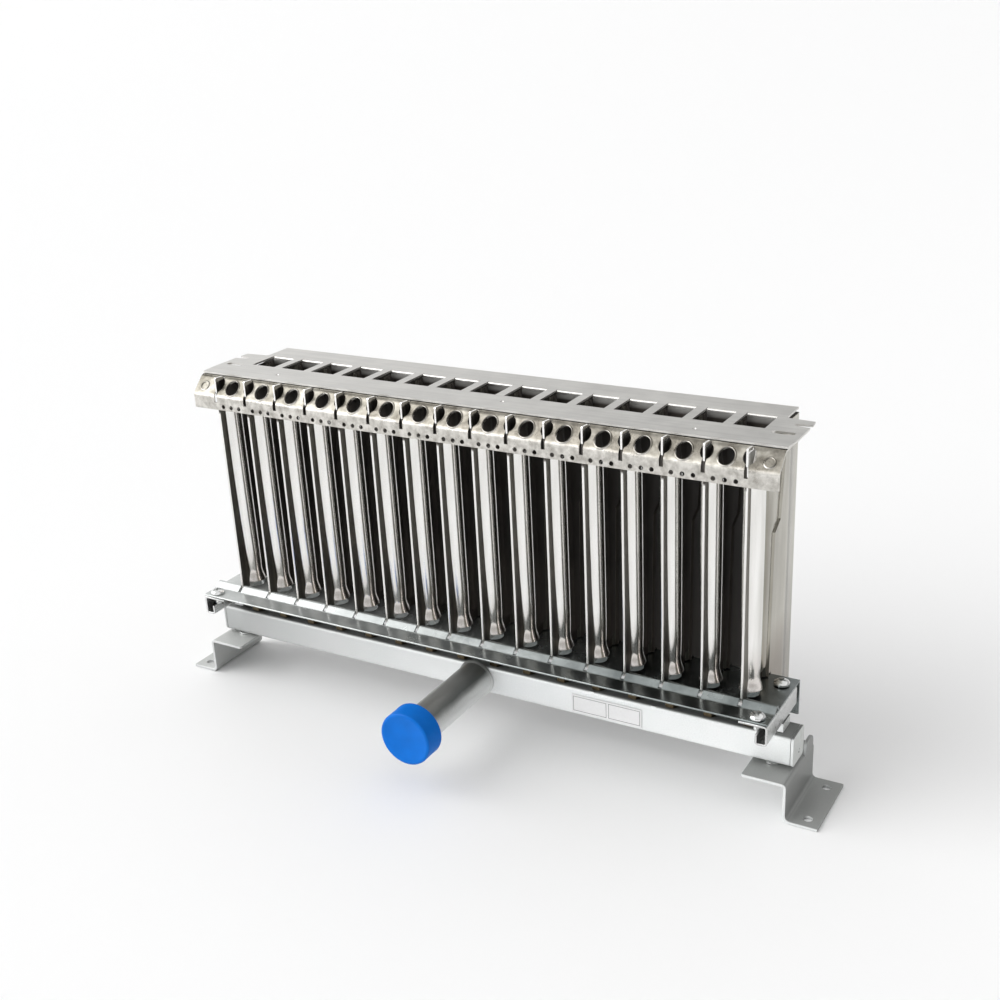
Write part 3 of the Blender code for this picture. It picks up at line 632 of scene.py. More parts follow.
# Two copies of one steel: the end blades' with painted shade on their outer side, the inner blades' with
# near-black painted shade in the gaps
BLADE_OPEN = blade_steel("bright_stainless_outer_side_shade", gap_shade=False)
BLADE_GAP_SHADE = blade_steel("bright_stainless_inner_gap_shade", gap_shade=True)
BLADE_WEB_SHADE = web_shade_steel()
PORT_DARK = port_dark()
PLATE = plate_steel()
RAIL = rail_steel()
BASE = galvanised_steel()
CHANNEL = zinc("zinc_channel", 0.70, 0.3)
FASTENER = zinc("bright_zinc_fastener", 0.85, 0.16)
# Each copy carries painted light and shade: the manifold dark on top and towards -X, the right foot more
# shaded on top and at the side than the left
PAINT = silver_paint("silver_paint_manifold", 0.42, 1.0, 0.22, 0.72)
FOOT_PAINT_LEFT = silver_paint("silver_paint_foot_left", 0.66, 0.66, 0.9, 0.75)
FOOT_PAINT_RIGHT = silver_paint("silver_paint_foot_right", 0.8, 0.8, 0.42, 0.40)
PIPE_PAINT = pipe_paint()
BRASS = brass()
BLUE = blue_plastic()
LABEL = label_film("white_label_film", 0.86)
LABEL_LINE = label_film("label_border_ink", 0.25)

# Material numbers of a blade: outer side, inner side with painted gap shade, near-black painted shade, and
# the web's painted shade
OPEN, DEEP, DARK, WEB = range(4)


# ---- burner blades
# Half thicknesses across the blade, heights, and places along it from front to flame side
WEB_HALF = 0.5
HEM_HALF = 0.6
BLADE_TOP = 140.6
TAB_BACK = -0.3
TAB_ROOT = 6.0  # how far the tab reaches down into the blade
HEM_TOP = 128.4
WEB_BOTTOM = 17.6
# Fold along the front edge: place behind the edge and share of its half thickness; flat web follows
HEM_FOLD = [(0.0, 0.0), (0.12, 0.62), (0.4, 1.0), (1.5, 1.0), (1.75, 0.85)]
HEM_BACK = (2.0, 3.0)
SHELL_HALF = 2.2
STRIP_HALF = 1.95  # the shell is pinched a little along its flame side
STRIP_FRONT = 46.0
RIDGE_HALF = 2.45
RIDGE_FRONT = 13.9
RIDGE_FOOT = (20.5, 25.0)  # the ridge rises between these heights
SHELL_CLOSES = (136.0, 139.5)  # ridge and duct flatten out between these heights
DUCT_OPENS = (106.0, 120.0)
DUCT_RISE = 1.7
GROOVE_HALF = 1.5  # between ridge and bead
# Height and place of the bead that stiffens the blade's shell
BEAD_LINE = [(17.6, 21.0), (92.0, 23.6), (96.4, 31.0), (128.0, 35.5), (140.0, 36.0)]
BEAD_HEIGHT = 0.9
SKIRT_FRONT = 27.2
LIP_SECTION = [(-0.5, 0.15), (-0.5, -0.1), (-0.25, -0.22), (0.02, -0.15), (0.12, 0.05), (0.0, 0.4)]
LIP_SEGMENTS = 40
# Height, half width across (x), half width along the blade (y) and middle y of the venturi
VENTURI = [(20.1, 5.7, 5.6, 4.8), (21.0, 5.5, 5.4, 4.8), (22.4, 5.0, 5.1, 4.85), (24.0, 4.5, 4.6, 4.9),
           (26.0, 4.15, 4.2, 4.95), (28.0, 4.2, 4.2, 4.9), (31.0, 4.4, 4.4, 4.8), (38.0, 4.7, 4.6, 4.4),
           (60.0, 5.0, 5.0, 3.7), (90.0, 5.2, 5.2, 3.2), (129.0, 5.1, 5.1, 3.0), (133.0, 4.3, 4.5, 3.2),
           (135.5, 3.2, 3.6, 3.4), (137.5, 1.4, 2.5, 3.6), (138.5, 0.5, 2.0, 3.6)]
# Half the tube's section, inwards: place along the blade and rise, as shares of its half widths
TUBE_HALF = [(1.12, 0.0), (1.03, 0.07), (0.99, 0.17), (0.95, 0.31), (0.86, 0.51), (0.72, 0.69), (0.5, 0.87),
             (0.26, 0.966)]
TUBE_SECTION = [(-along, rise) for along, rise in TUBE_HALF] + [(0.0, 1.0)] + TUBE_HALF[::-1]
LIP_Z = 20.1
PORT_PITCH = 1.6
PORT_BAR = 0.75
PORT_GROUP = 20
PORT_HALF = 1.5
PORT_MARGIN = 2.0  # between the slits and the blade's lower and upper ends
# Heights of the rows of points, closer together where the blade bends
LOWER_ROWS = [BLADE_LOW.z, BLADE_LOW.z + 0.6, 8.0, WEB_BOTTOM, LIP_Z]
UPPER_ROWS = [LIP_Z, 20.5, 21.0, 21.7, 22.4, 23.2, 24.0, 25.0, 26.0, 27.0, 28.0, 31.0, 34.0, 38.0, 46.0,
              60.0, 76.0, 91.4, 92.0, 92.8, 95.6, 96.4, 97.0, 101.0, 106.0, 109.5, 113.0, 116.5, 120.0,
              125.0, HEM_TOP - 0.2, HEM_TOP + 0.3, 131.0, 133.0, 134.3, 135.5, 136.5, 137.5, 138.5,
              139.6, BLADE_TOP - 0.5, BLADE_TOP]


def between(table, height):
    """Values of a table of (height, values...) at a height."""
    if height <= table[0][0]:
        return table[0][1:]
    for low, high in zip(table, table[1:]):
        if height <= high[0]:
            share = (height - low[0]) / (high[0] - low[0])
            return tuple(a + (b - a) * share for a, b in zip(low[1:], high[1:]))
    return table[-1][1:]


def smooth(value, low, high):
    """A soft step from 0 at low to 1 at high."""
    share = min(1.0, max(0.0, (value - low) / (high - low)))
    return share * share * (3 - 2 * share)


def blade_section(height, closed=False):
    """Half the blade's section at a height, front fold to flame side; closed leaves the venturi out."""
    front, back = BLADE_LOW.y, BLADE_HIGH.y
    wide, long, middle = between(VENTURI, height)
    fold = HEM_HALF if height < HEM_TOP else WEB_HALF
    points = [(front + behind, fold * share) for behind, share in HEM_FOLD]
    points += [(front + behind, WEB_HALF) for behind in HEM_BACK]
    points += [(middle + long * along, WEB_HALF + (0.0 if closed else max(0.0, wide - WEB_HALF) * rise))
               for along, rise in TUBE_SECTION]
    # The crossover: higher up the seam between tube and ridge opens into a duct
    flat = 1 - smooth(height, *SHELL_CLOSES)
    seam = WEB_HALF + DUCT_RISE * (smooth(height, *DUCT_OPENS) * flat)
    for index in (-1, -2, -3, -4):
        y, x = points[index]
        points[index] = (y, max(x, seam))
    ridge = max(RIDGE_HALF * smooth(height, *RIDGE_FOOT) * flat, WEB_HALF)
    bead, = between(BEAD_LINE, height)
    shell = SHELL_HALF if height < BLADE_TOP - 0.6 else SHELL_HALF - 0.5
    crest = shell + BEAD_HEIGHT
    start = max(points[-1][0] + 0.2, RIDGE_FRONT)
    points += [(start, seam), (start + 0.5, seam + (ridge - seam) * 0.45),
               (start + 1.0, seam + (ridge - seam) * 0.86), (start + 1.6, ridge),
               (bead - 1.6, ridge), (bead - 1.0, ridge * 0.93), (bead - 0.55, GROOVE_HALF + 0.05),
               (bead, GROOVE_HALF), (bead + 0.35, 1.9), (bead + 0.7, crest), (bead + 1.2, crest),
               (bead + 2.0, shell)]
    skirt = max(SKIRT_FRONT, bead + 2.4)
    points += [(skirt, shell), (STRIP_FRONT - 3.0, shell), (STRIP_FRONT, shell),
               (STRIP_FRONT + 0.7, STRIP_HALF), (back - 1.0, STRIP_HALF), (back - 0.3, STRIP_HALF - 0.05),
               (back, STRIP_HALF - 0.3), (back - 0.1, 1.55), (back - 0.7, 1.5)]
    return points


SECTION_LENGTH = len(blade_section(60.0))
SKIRT_COLUMN = SECTION_LENGTH - 9  # first column of the part that reaches down to the blade's foot
TUBE_FIRST = len(HEM_FOLD) + len(HEM_BACK)
TUBE_COLUMNS = range(TUBE_FIRST, TUBE_FIRST + len(TUBE_SECTION))
# The columns given the web's painted shade: behind the fold, and in the groove in front of the bead
SHADED_COLUMNS = (2, 3, 4, 5, 6, SKIRT_COLUMN - 7, SKIRT_COLUMN - 6, SKIRT_COLUMN - 5)


def port_bars():
    """The bars between the flame slits, in groups along the blade's flame side."""
    bars = []
    bottom, top = BLADE_LOW.z + PORT_MARGIN, BLADE_TOP - PORT_MARGIN
    for number in range(int((top - bottom) / PORT_PITCH)):
        low = bottom + number * PORT_PITCH
        solid = number % PORT_GROUP == 0
        bars.append(box((-PORT_HALF, BLADE_HIGH.y - 0.75, low),
                        (PORT_HALF, BLADE_HIGH.y - 0.2, low + (PORT_PITCH if solid else PORT_BAR))))
    return together(bars)


def mouth_lip():
    """The rolled rim of the venturi's mouth."""
    wide, long, middle = between(VENTURI, LIP_Z)
    return oval_rim(LIP_SECTION, (0.0, middle), (wide, long), LIP_SEGMENTS, LIP_Z)


def blade_mesh(name, left_open, right_open):
    """One pressed blade; an open side is an outer side, seen in full light."""
    heights = LOWER_ROWS + UPPER_ROWS
    lip_row = len(LOWER_ROWS)
    shape = bmesh.new()
    rows = []
    for number, height in enumerate(heights):
        section = blade_section(max(height, WEB_BOTTOM), closed=number < lip_row)
        first = SKIRT_COLUMN if height < WEB_BOTTOM else 0
        halves = []
        for half, side in enumerate((1, -1)):
            halves.append([shape.verts.new((side * x, y, height)) if index >= first else None
                           for index, (y, x) in enumerate(section)])
        halves[1][0] = halves[0][0]
        if number == lip_row:
            for half in (0, 1):
                for index, vertex in enumerate(halves[half]):
                    if index - TUBE_COLUMNS.start not in range(1, len(TUBE_COLUMNS) - 1):
                        if vertex.is_valid:
                            shape.verts.remove(vertex)
                        halves[half][index] = rows[-1][half][index]
        rows.append(halves)

    def face(corners, number):
        corners = [corner for index, corner in enumerate(corners) if corner not in corners[:index]]
        if len(corners) > 2:
            shape.faces.new(corners).material_index = number

    sides = {0: OPEN if right_open else DEEP, 1: OPEN if left_open else DEEP}
    for row, (below, above) in enumerate(zip(rows, rows[1:]), start=1):
        for side, number in sides.items():
            for column in range(SECTION_LENGTH - 1):
                corners = [below[side][column], below[side][column + 1],
                           above[side][column + 1], above[side][column]]
                if None not in corners:
                    # Columns by the fold and in the bead's groove get the web's painted shade; the row under
                    # the mouth's step is near-black painted shade
                    shaded = WEB if column in SHADED_COLUMNS else number
                    face(corners, DARK if row == lip_row else shaded)
        # The face that closes the flame side, seen through the slits, is near-black painted shade for the
        # hollow inside
        face([below[0][-1], below[1][-1], above[1][-1], above[0][-1]], DARK)
    web_row = heights.index(WEB_BOTTOM)
    for row, columns in ((rows[0], range(SKIRT_COLUMN, SECTION_LENGTH - 1)),
                         (rows[web_row], range(SKIRT_COLUMN)), (rows[-1], range(SECTION_LENGTH - 1))):
        for column in columns:
            face([row[0][column], row[1][column], row[1][column + 1], row[0][column + 1]], DEEP)
    for below, above in zip(rows[:web_row], rows[1:web_row + 1]):
        face([below[0][SKIRT_COLUMN], above[0][SKIRT_COLUMN],
              above[1][SKIRT_COLUMN], below[1][SKIRT_COLUMN]], DEEP)
    bmesh.ops.recalc_face_normals(shape, faces=shape.faces)
    root = BLADE_TOP - TAB_ROOT
    tab = prism([(BLADE_LOW.y, root), (BLADE_LOW.y, BLADE_HIGH.z - 0.5),
                 (BLADE_LOW.y + 0.5, BLADE_HIGH.z), (TAB_BACK - 1.0, BLADE_HIGH.z - 0.4),
                 (TAB_BACK, BLADE_TOP - 0.2), (TAB_BACK, root)],
                "X", -WEB_HALF + 0.02, WEB_HALF - 0.02)
    looks = [BLADE_OPEN, BLADE_GAP_SHADE, PORT_DARK, BLADE_WEB_SHADE]
    return as_mesh(name, together([shape, tab, mouth_lip(), port_bars()]), looks)


def build_blades():
    """All blades; the first and the last each have a side seen in full light."""
    inner = blade_mesh("blade_inner", False, False)
    meshes = {0: blade_mesh("blade_left", True, False),
              len(BLADE_NAMES) - 1: blade_mesh("blade_right", False, True)}
    for index, (node, x) in enumerate(zip(BLADE_NAMES, BLADE_X)):
        show(node, meshes.get(index, inner), "blade_stainless", (x, 0.0, 0.0))


# ---- jets
HEX_BOTTOM, HEX_TOP = 0.3, 5.2
CONE_FOOT = 4.6  # the cone starts inside the hexagon
CONE_RADIUS = 3.3
JET_BORE = 0.65
JET_THREAD = (2.3, 2.6)  # radius in the grooves and on the crests
JET_THREAD_PITCH = 0.75


def build_jets():
    """Screwed jets: a chamfered hexagon, a cone and a fine bore."""
    corner = (JET_HIGH.x - JET_LOW.x) / 2
    top = JET_HIGH.z
    hexagon = turned([(HEX_BOTTOM, 2.0), (HEX_BOTTOM, corner * 0.92), (HEX_BOTTOM + 0.5, corner),
                      (HEX_TOP - 0.5, corner), (HEX_TOP, corner * 0.9), (HEX_TOP, 2.0)], 6)
    cone = turned([(CONE_FOOT, 1.4), (CONE_FOOT, CONE_RADIUS), (6.0, CONE_RADIUS), (6.5, CONE_RADIUS - 0.2),
                   (top - 0.3, 1.9), (top, 1.6), (top, JET_BORE), (top - 2.0, JET_BORE - 0.03)], 28)
    groove, crest = JET_THREAD
    thread = [(JET_LOW.z, 1.5), (JET_LOW.z, groove)]
    for turn in range(3):
        low = JET_LOW.z + 0.2 + turn * JET_THREAD_PITCH
        thread += [(low, groove), (low + 0.35, crest), (low + 0.7, groove)]
    thread += [(0.6, groove), (0.6, 1.5)]
    mesh = as_mesh("gas_jet", together([hexagon, cone, turned(thread, 24)]), [BRASS])
    for node, x in zip(JET_NAMES, BLADE_X):
        show(node, mesh, "jet_brass", (x, VENTURI_Y, 0.0))


# ---- front rail
RAIL_SHEET = 0.8
RAIL_CORNER = 4.0
RAIL_BEND_Z = 133.6
RAIL_BEND_RADIUS = 1.6
SLOT_HALF = 1.0
SLOT_BOTTOM = 129.6
AIR_HOLE = (3.8, 4.4)
AIR_HOLE_PLACE = 0.48  # share of the pitch to the right of a blade
RELIEF = (3.1, 4.0)
SMALL_HOLE_RADIUS = 1.15
SMALL_HOLE_Z = 127.6
SMALL_HOLE_PLACES = (0.24, 0.51, 0.77)
EMBOSS_X = 159.4
EMBOSS_RADII = (2.2, 2.2)
HOLE_LIP_WIDTH = 0.8


def slope_frame(x, upwards):
    """Where a shape drawn in its own XY plane lies on the rail's sloping face."""
    rise = RAIL_HIGH.z - RAIL_BEND_Z
    middle = Vector((x, RAIL_LOW.y + rise / 2, RAIL_BEND_Z + rise / 2))
    along = Vector((0.0, math.cos(math.pi / 4), math.sin(math.pi / 4)))
    return Matrix.Translation(middle + along * upwards) @ Matrix.Rotation(math.pi / 4, 4, "X")


def raised_lip(radii, lift):
    """A raised lip around an oval hole, lying on its own XY plane."""
    width = HOLE_LIP_WIDTH
    section = [(0.0, -0.3), (0.0, lift * 0.8), (width * 0.25, lift), (width * 0.6, lift * 0.8), (width, 0.0),
               (width, -0.3)]
    return oval_rim(section, (0.0, 0.0), radii, 36)


def slope_cutter(radii, segments, frame_of_slope):
    """An oval cutter that passes through the rail's sloping face."""
    return moved(prism(circle((0.0, 0.0), radii[0], segments, radii[1]), "Z", -2, 2), frame_of_slope)


def build_front_rail():
    """The folded rail with its slots, relief openings, lipped air holes and small holes."""
    half = RAIL_HIGH.x
    shoulder = RAIL_LOW.y + RAIL_HIGH.z - RAIL_BEND_Z
    path = rounded([(RAIL_LOW.y, RAIL_LOW.z), (RAIL_LOW.y, RAIL_BEND_Z), (shoulder, RAIL_HIGH.z),
                    (RAIL_HIGH.y, RAIL_HIGH.z)], RAIL_BEND_RADIUS)
    sheet = bent_sheet(path, RAIL_SHEET, "X", -half, half)
    front = RAIL_LOW.y
    slots, reliefs, air, small, lips, corners = [], [], [], [], [], []
    for x in BLADE_X:
        slots.append(box((x - SLOT_HALF, front - PAST, SLOT_BOTTOM),
                         (x + SLOT_HALF, shoulder + 1.0, RAIL_HIGH.z + PAST)))
        reliefs.append(slope_cutter(RELIEF, 20, slope_frame(x, 0.8)))
    for x in BLADE_X[:-1]:
        place = slope_frame(x + AIR_HOLE_PLACE * PITCH, -0.6)
        air.append(slope_cutter(AIR_HOLE, 32, place))
        lips.append(moved(raised_lip(AIR_HOLE, 0.55), place))
        for share in SMALL_HOLE_PLACES:
            spot = (x + share * PITCH, SMALL_HOLE_Z)
            small.append(rod(spot, SMALL_HOLE_RADIUS, 16, "Y", front - PAST, front + 2))
    quarter = [math.pi / 2 * step / 6 for step in range(7)]
    for side in SIDES.values():
        arc = [(half + PAST - RAIL_CORNER * (1 - math.cos(a)),
                RAIL_LOW.z - PAST + RAIL_CORNER * (1 - math.sin(a))) for a in quarter]
        outline = [(side * x, z) for x, z in [(half + 2, RAIL_LOW.z - 2)] + arc]
        corners.append(prism(outline, "Y", front - PAST, front + 2))
        lips.append(moved(raised_lip(EMBOSS_RADII, 0.35), slope_frame(side * EMBOSS_X, -0.8)))
    rail = cut(sheet, *(together(cutters) for cutters in (slots, reliefs, air, small, corners)))
    show_shape("front_rail", together([rail] + lips), [RAIL], "plate_stainless", bevel=0.12)


# ---- top plate
WINDOW_HALF = 7.5
WINDOW_FRONT, WINDOW_BACK = 21.4, 41.0
PLATE_BODY_HALF = 151.6
PLATE_TAB_BACK = 39.5
FLAP_DROP = 15.0
FLAP_BEND = 1.7
FLAP_GAP = 0.15  # between a flap and its window's sides
# Open slot in the end of each tab, and the elongated hole in front of it
OPEN_SLOT = [(158.5, 30.0), (158.5, 32.5)]
LONG_HOLE_X = (161.0, 153.4)
LONG_HOLE_Y = 18.3
LONG_HOLE_RADIUS = 1.7
DENTS = [(-121.0, 9.6), (16.4, 12.6), (118.6, 9.2)]


def build_top_plate():
    """The end plate with a window between each pair of blades and a flap bent down from its back."""
    tab, top, back = PLATE_HIGH.x, PLATE_HIGH.z, PLATE_HIGH.y
    edge = [(tab - 0.8, PLATE_LOW.y), (tab, PLATE_LOW.y + 9.0), (tab, 29.0), *OPEN_SLOT, (tab, 33.4),
            (tab - 0.5, PLATE_TAB_BACK - 1), (PLATE_BODY_HALF + 1.2, PLATE_TAB_BACK),
            (PLATE_BODY_HALF, PLATE_TAB_BACK + 1.5), (PLATE_BODY_HALF, back)]
    plate = prism(edge + [(-x, y) for x, y in edge[::-1]], "Z", top - SHEET, top)
    fold = WINDOW_BACK - FLAP_BEND
    path = rounded([(WINDOW_BACK + 0.4, top - 0.02), (fold, top - 0.02), (fold, top - FLAP_DROP)], FLAP_BEND)
    section = path + offset_path(path, -0.9 * SHEET)[::-1]
    windows, flaps, slots = [], [], []
    for x in BLADE_X[:-1]:
        left, right = x + PITCH / 2 - WINDOW_HALF, x + PITCH / 2 + WINDOW_HALF
        windows.append(box((left, WINDOW_FRONT, top - 3), (right, WINDOW_BACK, top + PAST)))
        flaps.append(prism(section, "X", left + FLAP_GAP, right - FLAP_GAP))
    for side in SIDES.values():
        outline = []
        for x, turn in zip(LONG_HOLE_X, (-math.pi / 2, math.pi / 2)):
            for angle in (turn + step * math.pi / 8 for step in range(9)):
                outline.append((side * (x + LONG_HOLE_RADIUS * math.cos(angle)),
                                LONG_HOLE_Y + LONG_HOLE_RADIUS * math.sin(angle)))
        slots.append(prism(outline, "Z", top - 3, top + PAST))
    dent = [(top - 0.5, 0.0), (top - 0.5, 0.7), (top + 0.5, 1.3), (top + 0.5, 0.0)]
    dents = [turned(dent, 16, middle=place) for place in DENTS]
    plate = cut(plate, together(windows), together(slots), together(dents))
    show_shape("top_plate", together([plate] + flaps), [PLATE], "plate_stainless", bevel=0.14)


# ---- base plate and channels
# Section of the slotted rib: its front foot, its crest and its back foot
RIB_Y = (-10.8, -7.0, -5.8, -4.2)
BASE_CORNER = 0.6
RIB_SLOT_HALF = 0.95
RIB_SLOT_Y = (-10.4, -4.6)
MOUTH_RADIUS = 4.6
CHANNEL_LIP = 6.0
CHANNEL_LIP_RISE = 5.2
CHANNEL_BEND = 1.7
HEAD_PROFILE = [(0.3, 0.0), (0.3, 3.5), (0.5, 3.9), (1.3, 3.85), (1.9, 3.4), (2.4, 2.6), (2.7, 1.4),
                (2.75, 0.0)]
CROSS_LENGTH, CROSS_HALF = 2.0, 0.42
SCREW_THREAD = (1.6, 1.9)  # radius in the grooves and on the crests
SCREW_PITCH = 0.7
SCREW_TIP = -6.0
SCREW_TURN = {"front": 0.6, "rear": 1.3}


def build_base_plate():
    """The base sheet with its slotted rib, mouth holes and the flange behind it."""
    half = BASE_HIGH.x
    rib = BASE_HIGH.z
    foot, front, back, behind = RIB_Y
    path = [(BASE_LOW.y, BASE_TOP), (foot, BASE_TOP), (front, rib), (back, rib), (behind, BASE_TOP),
            (BASE_HIGH.y, BASE_TOP), (BASE_HIGH.y, BASE_LOW.z)]
    section = rounded(path + offset_path(path, SHEET)[::-1], BASE_CORNER, closed=True, steps=4)
    sheet = prism(section, "X", -half, half)
    slots = [box((x - RIB_SLOT_HALF, RIB_SLOT_Y[0], BASE_TOP + 0.1),
                 (x + RIB_SLOT_HALF, RIB_SLOT_Y[1], rib + PAST)) for x in BLADE_X]
    mouths = [rod((x, VENTURI_Y), MOUTH_RADIUS, 28, "Z", BASE_TOP - 2, BASE_TOP + PAST) for x in BLADE_X]
    plate = cut(sheet, together(slots), together(mouths))
    show_shape("base_plate", plate, [BASE], "base_galvanised", bevel=0.16)


def build_channels():
    """Lipped channels under the base plate's ends, with rolled corners."""
    top, bottom = CHANNEL_HIGH.z, CHANNEL_LOW.z
    outer, inner = CHANNEL_HIGH.x, CHANNEL_LOW.x
    path = rounded([(inner, top), (outer, top), (outer, bottom), (outer - CHANNEL_LIP, bottom),
                    (outer - CHANNEL_LIP, bottom + CHANNEL_LIP_RISE)], CHANNEL_BEND)
    for name, side in SIDES.items():
        channel = bent_sheet(path, SHEET, "Y", CHANNEL_LOW.y, CHANNEL_HIGH.y)
        if side < 0:
            mirrored(channel)
        show_shape(f"end_channel_{name}", channel, [CHANNEL], "channel_zinc", bevel=0.12)


def build_screws():
    """Pan-head screws with a cross recess."""
    long, half = CROSS_LENGTH, CROSS_HALF
    arms = [box((-a, -b, bottom), (a, b, 4.0))
            for a, b, bottom in ((long, half, 1.5), (half, long, 1.45))]
    head = cut(turned(HEAD_PROFILE, 40), *arms)
    groove, crest = SCREW_THREAD
    threads = [(0.5, 0.0), (0.5, crest)]
    for turn in range(8):
        low = -0.1 - turn * SCREW_PITCH
        threads += [(low, crest), (low - 0.35, groove)]
    threads += [(SCREW_TIP, 1.5), (SCREW_TIP, 0.0)]
    mesh = as_mesh("pan_head_screw", together([head, turned(threads, 24)]), [FASTENER])
    for name in SIDES:
        for end, turn in SCREW_TURN.items():
            node = f"base_screw_{end}_{name}"
            spot = centre(node)
            screw = show(node, mesh, "fastener_zinc", (spot.x, spot.y, BASE_TOP))
            screw.rotation_euler.z = turn


# ---- manifold and inlet
TUBE_WALL = 1.2
TUBE_CORNER = 2.6
JET_HOLE_RADIUS = 3.0
INLET_HOLE_RADIUS = 5.4
# Small weld beads along the tube's front edge
BEADS_X = (68.4, 102.4)
BEAD_PLACE = (0.5, -0.55)
BEAD_PROFILE = [(-1.6, 0.0), (-1.2, 0.5), (0.0, 0.75), (1.2, 0.5), (1.6, 0.0)]
# The mark stamped into the end caps: a groove, and a dot at its lower end
MARK_GROOVE = rounded(rectangle((9.6, -11.0), (10.6, -1.8)), 0.6, closed=True)
MARK_DOT = (9.2, -11.4)
MARK_DOT_RADIUS = 1.1
MARK_DEPTH = 0.4
PIPE_WALL = 1.5
INLET_THREAD_PITCH = 1.814
CAP_RIM = 1.3  # length of the thicker rim around the cap's open end
CAP_WALL = 0.7
PRINT_WIDTH = 0.3


def tube_outline(inset=0.0):
    """The manifold's square section with rounded corners, drawn in by inset."""
    low, high = MANIFOLD_LOW, MANIFOLD_HIGH
    corners = rectangle((low.y + inset, low.z + inset), (high.y - inset, high.z - inset))
    return rounded(corners, TUBE_CORNER - inset, closed=True, steps=6)


def build_manifold():
    """The square tube with its jet holes, and its end caps with a stamped mark."""
    half = MANIFOLD_HIGH.x
    outer = prism(tube_outline(), "X", -half, half)
    inner = prism(tube_outline(TUBE_WALL), "X", -half - PAST, half + PAST)
    holes = [rod((x, VENTURI_Y), JET_HOLE_RADIUS, 20, "Z", -3, PAST) for x in BLADE_X]
    inlet = rod((0.0, MANIFOLD_LOW.z / 2), INLET_HOLE_RADIUS, 24, "Y", -PAST, 3)
    tube = cut(outer, inner, together(holes), inlet)
    beads = [turned([(x + along, radius) for along, radius in BEAD_PROFILE], 12, "X", BEAD_PLACE)
             for x in BEADS_X]
    show_shape("manifold_tube", together([tube] + beads), [PAINT], "silver_metal")
    for name, side in SIDES.items():
        node = f"manifold_end_cap_{name}"
        low, high = span(node)
        face = high.x if side > 0 else low.x
        cap = prism(tube_outline(), "X", low.x, high.x)
        mark = [prism(outline, "X", face - MARK_DEPTH, face + MARK_DEPTH)
                for outline in (MARK_GROOVE, circle(MARK_DOT, MARK_DOT_RADIUS, 16))]
        show_shape(node, cut(cap, *mark), [PAINT], "silver_metal", bevel=0.35)


def build_inlet():
    """The inlet pipe with its weld, the thread on its end and the blue cap over it."""
    middle = (0.0, centre("inlet_pipe").z)
    radius = (PIPE_HIGH.x - PIPE_LOW.x) / 2
    end, root = PIPE_LOW.y, PIPE_HIGH.y
    pipe = turned([(end, radius - PIPE_WALL), (end, radius), (root, radius), (root, radius - PIPE_WALL)],
                  72, "Y", middle)
    weld = turned([(root, radius - 0.2), (root, radius + 0.9), (root - 0.5, radius + 0.75),
                   (root - 1.1, radius + 0.25), (root - 1.5, radius - 0.2)], 72, "Y", middle)
    show_shape("inlet_pipe", together([pipe, weld]), [PIPE_PAINT], "silver_metal")

    thread = (THREAD_HIGH.x - THREAD_LOW.x) / 2
    end, pitch = THREAD_LOW.y, INLET_THREAD_PITCH
    crests = [(end, radius + 0.3), (end, thread - 0.9), (end + 0.6, thread - 0.3)]
    for turn in range(4):
        low = end + 0.6 + turn * pitch
        crests += [(low + 0.15 * pitch, thread), (low + 0.35 * pitch, thread),
                   (low + 0.75 * pitch, thread - 1.1), (low + 0.85 * pitch, thread - 1.1)]
    crests += [(THREAD_HIGH.y, thread - 0.6), (THREAD_HIGH.y, radius + 0.3)]
    show_shape("inlet_thread_end", turned(crests, 72, "Y", middle), [FASTENER], "fastener_zinc")

    outer = (CAP_HIGH.x - CAP_LOW.x) / 2
    front, rim, floor = CAP_LOW.y, CAP_HIGH.y, end - 0.3
    profile = [(front + 0.15, 0.0), (front + 0.15, outer - 2.4), (front, outer - 1.9), (front, outer - 1.2),
               (front + 0.15, outer - 0.6), (front + 0.5, outer - 0.2), (front + 1.1, outer - 0.03),
               (rim - CAP_RIM - 0.3, outer - 0.12), (rim - CAP_RIM, outer), (rim - 0.2, outer),
               (rim, outer - 0.2), (rim, outer - CAP_WALL), (floor, outer - CAP_WALL), (floor, 0.0)]
    show_shape("inlet_cap", turned(profile, 96, "Y", middle), [BLUE], "cap_plastic", body=CAP_BODY)


def build_label():
    """The blank rating label: white film with thin printed borders."""
    low, high = span("rating_label")
    outline = rounded(rectangle((low.x, low.z), (high.x, high.z)), 0.5, closed=True)
    film = prism(outline, "Y", low.y, high.y)
    bottom, top, width = low.z + 1.0, high.z - 1.0, PRINT_WIDTH
    strips = []
    for left, right in ((low.x + 0.8, low.x + 19.5), (low.x + 20.6, high.x - 0.8)):
        for a, b, c, d in ((left, bottom, right, bottom + width), (left, top - width, right, top),
                           (left, bottom, left + width, top), (right - width, bottom, right, top)):
            strips.append(box((a, low.y - 0.02, b), (c, low.y + 0.05, d)))
    lines = together(strips)
    for face in lines.faces:
        face.material_index = 1
    show_shape("rating_label", together([film, lines]), [LABEL, LABEL_LINE], "label_film")


# ---- feet
FOOT_SHEET = 1.5
FOOT_TOP = -17.4
FOOT_WEB_X = 174.8
FOOT_BEND = 2.6
EAR_TOP = -11.0
EAR_FRONT = 16.5
EAR_CORNER = 6.0
FLOOR_HOLE_X, FLOOR_HOLES_Y = 184.0, (-6.5, 22.7)
FLOOR_HOLE_RADIUS = 2.15
TOP_HOLE = (162.5, 5.0)
TOP_HOLE_RADIUS = 2.3
CLIPPED_CORNER = 1.8


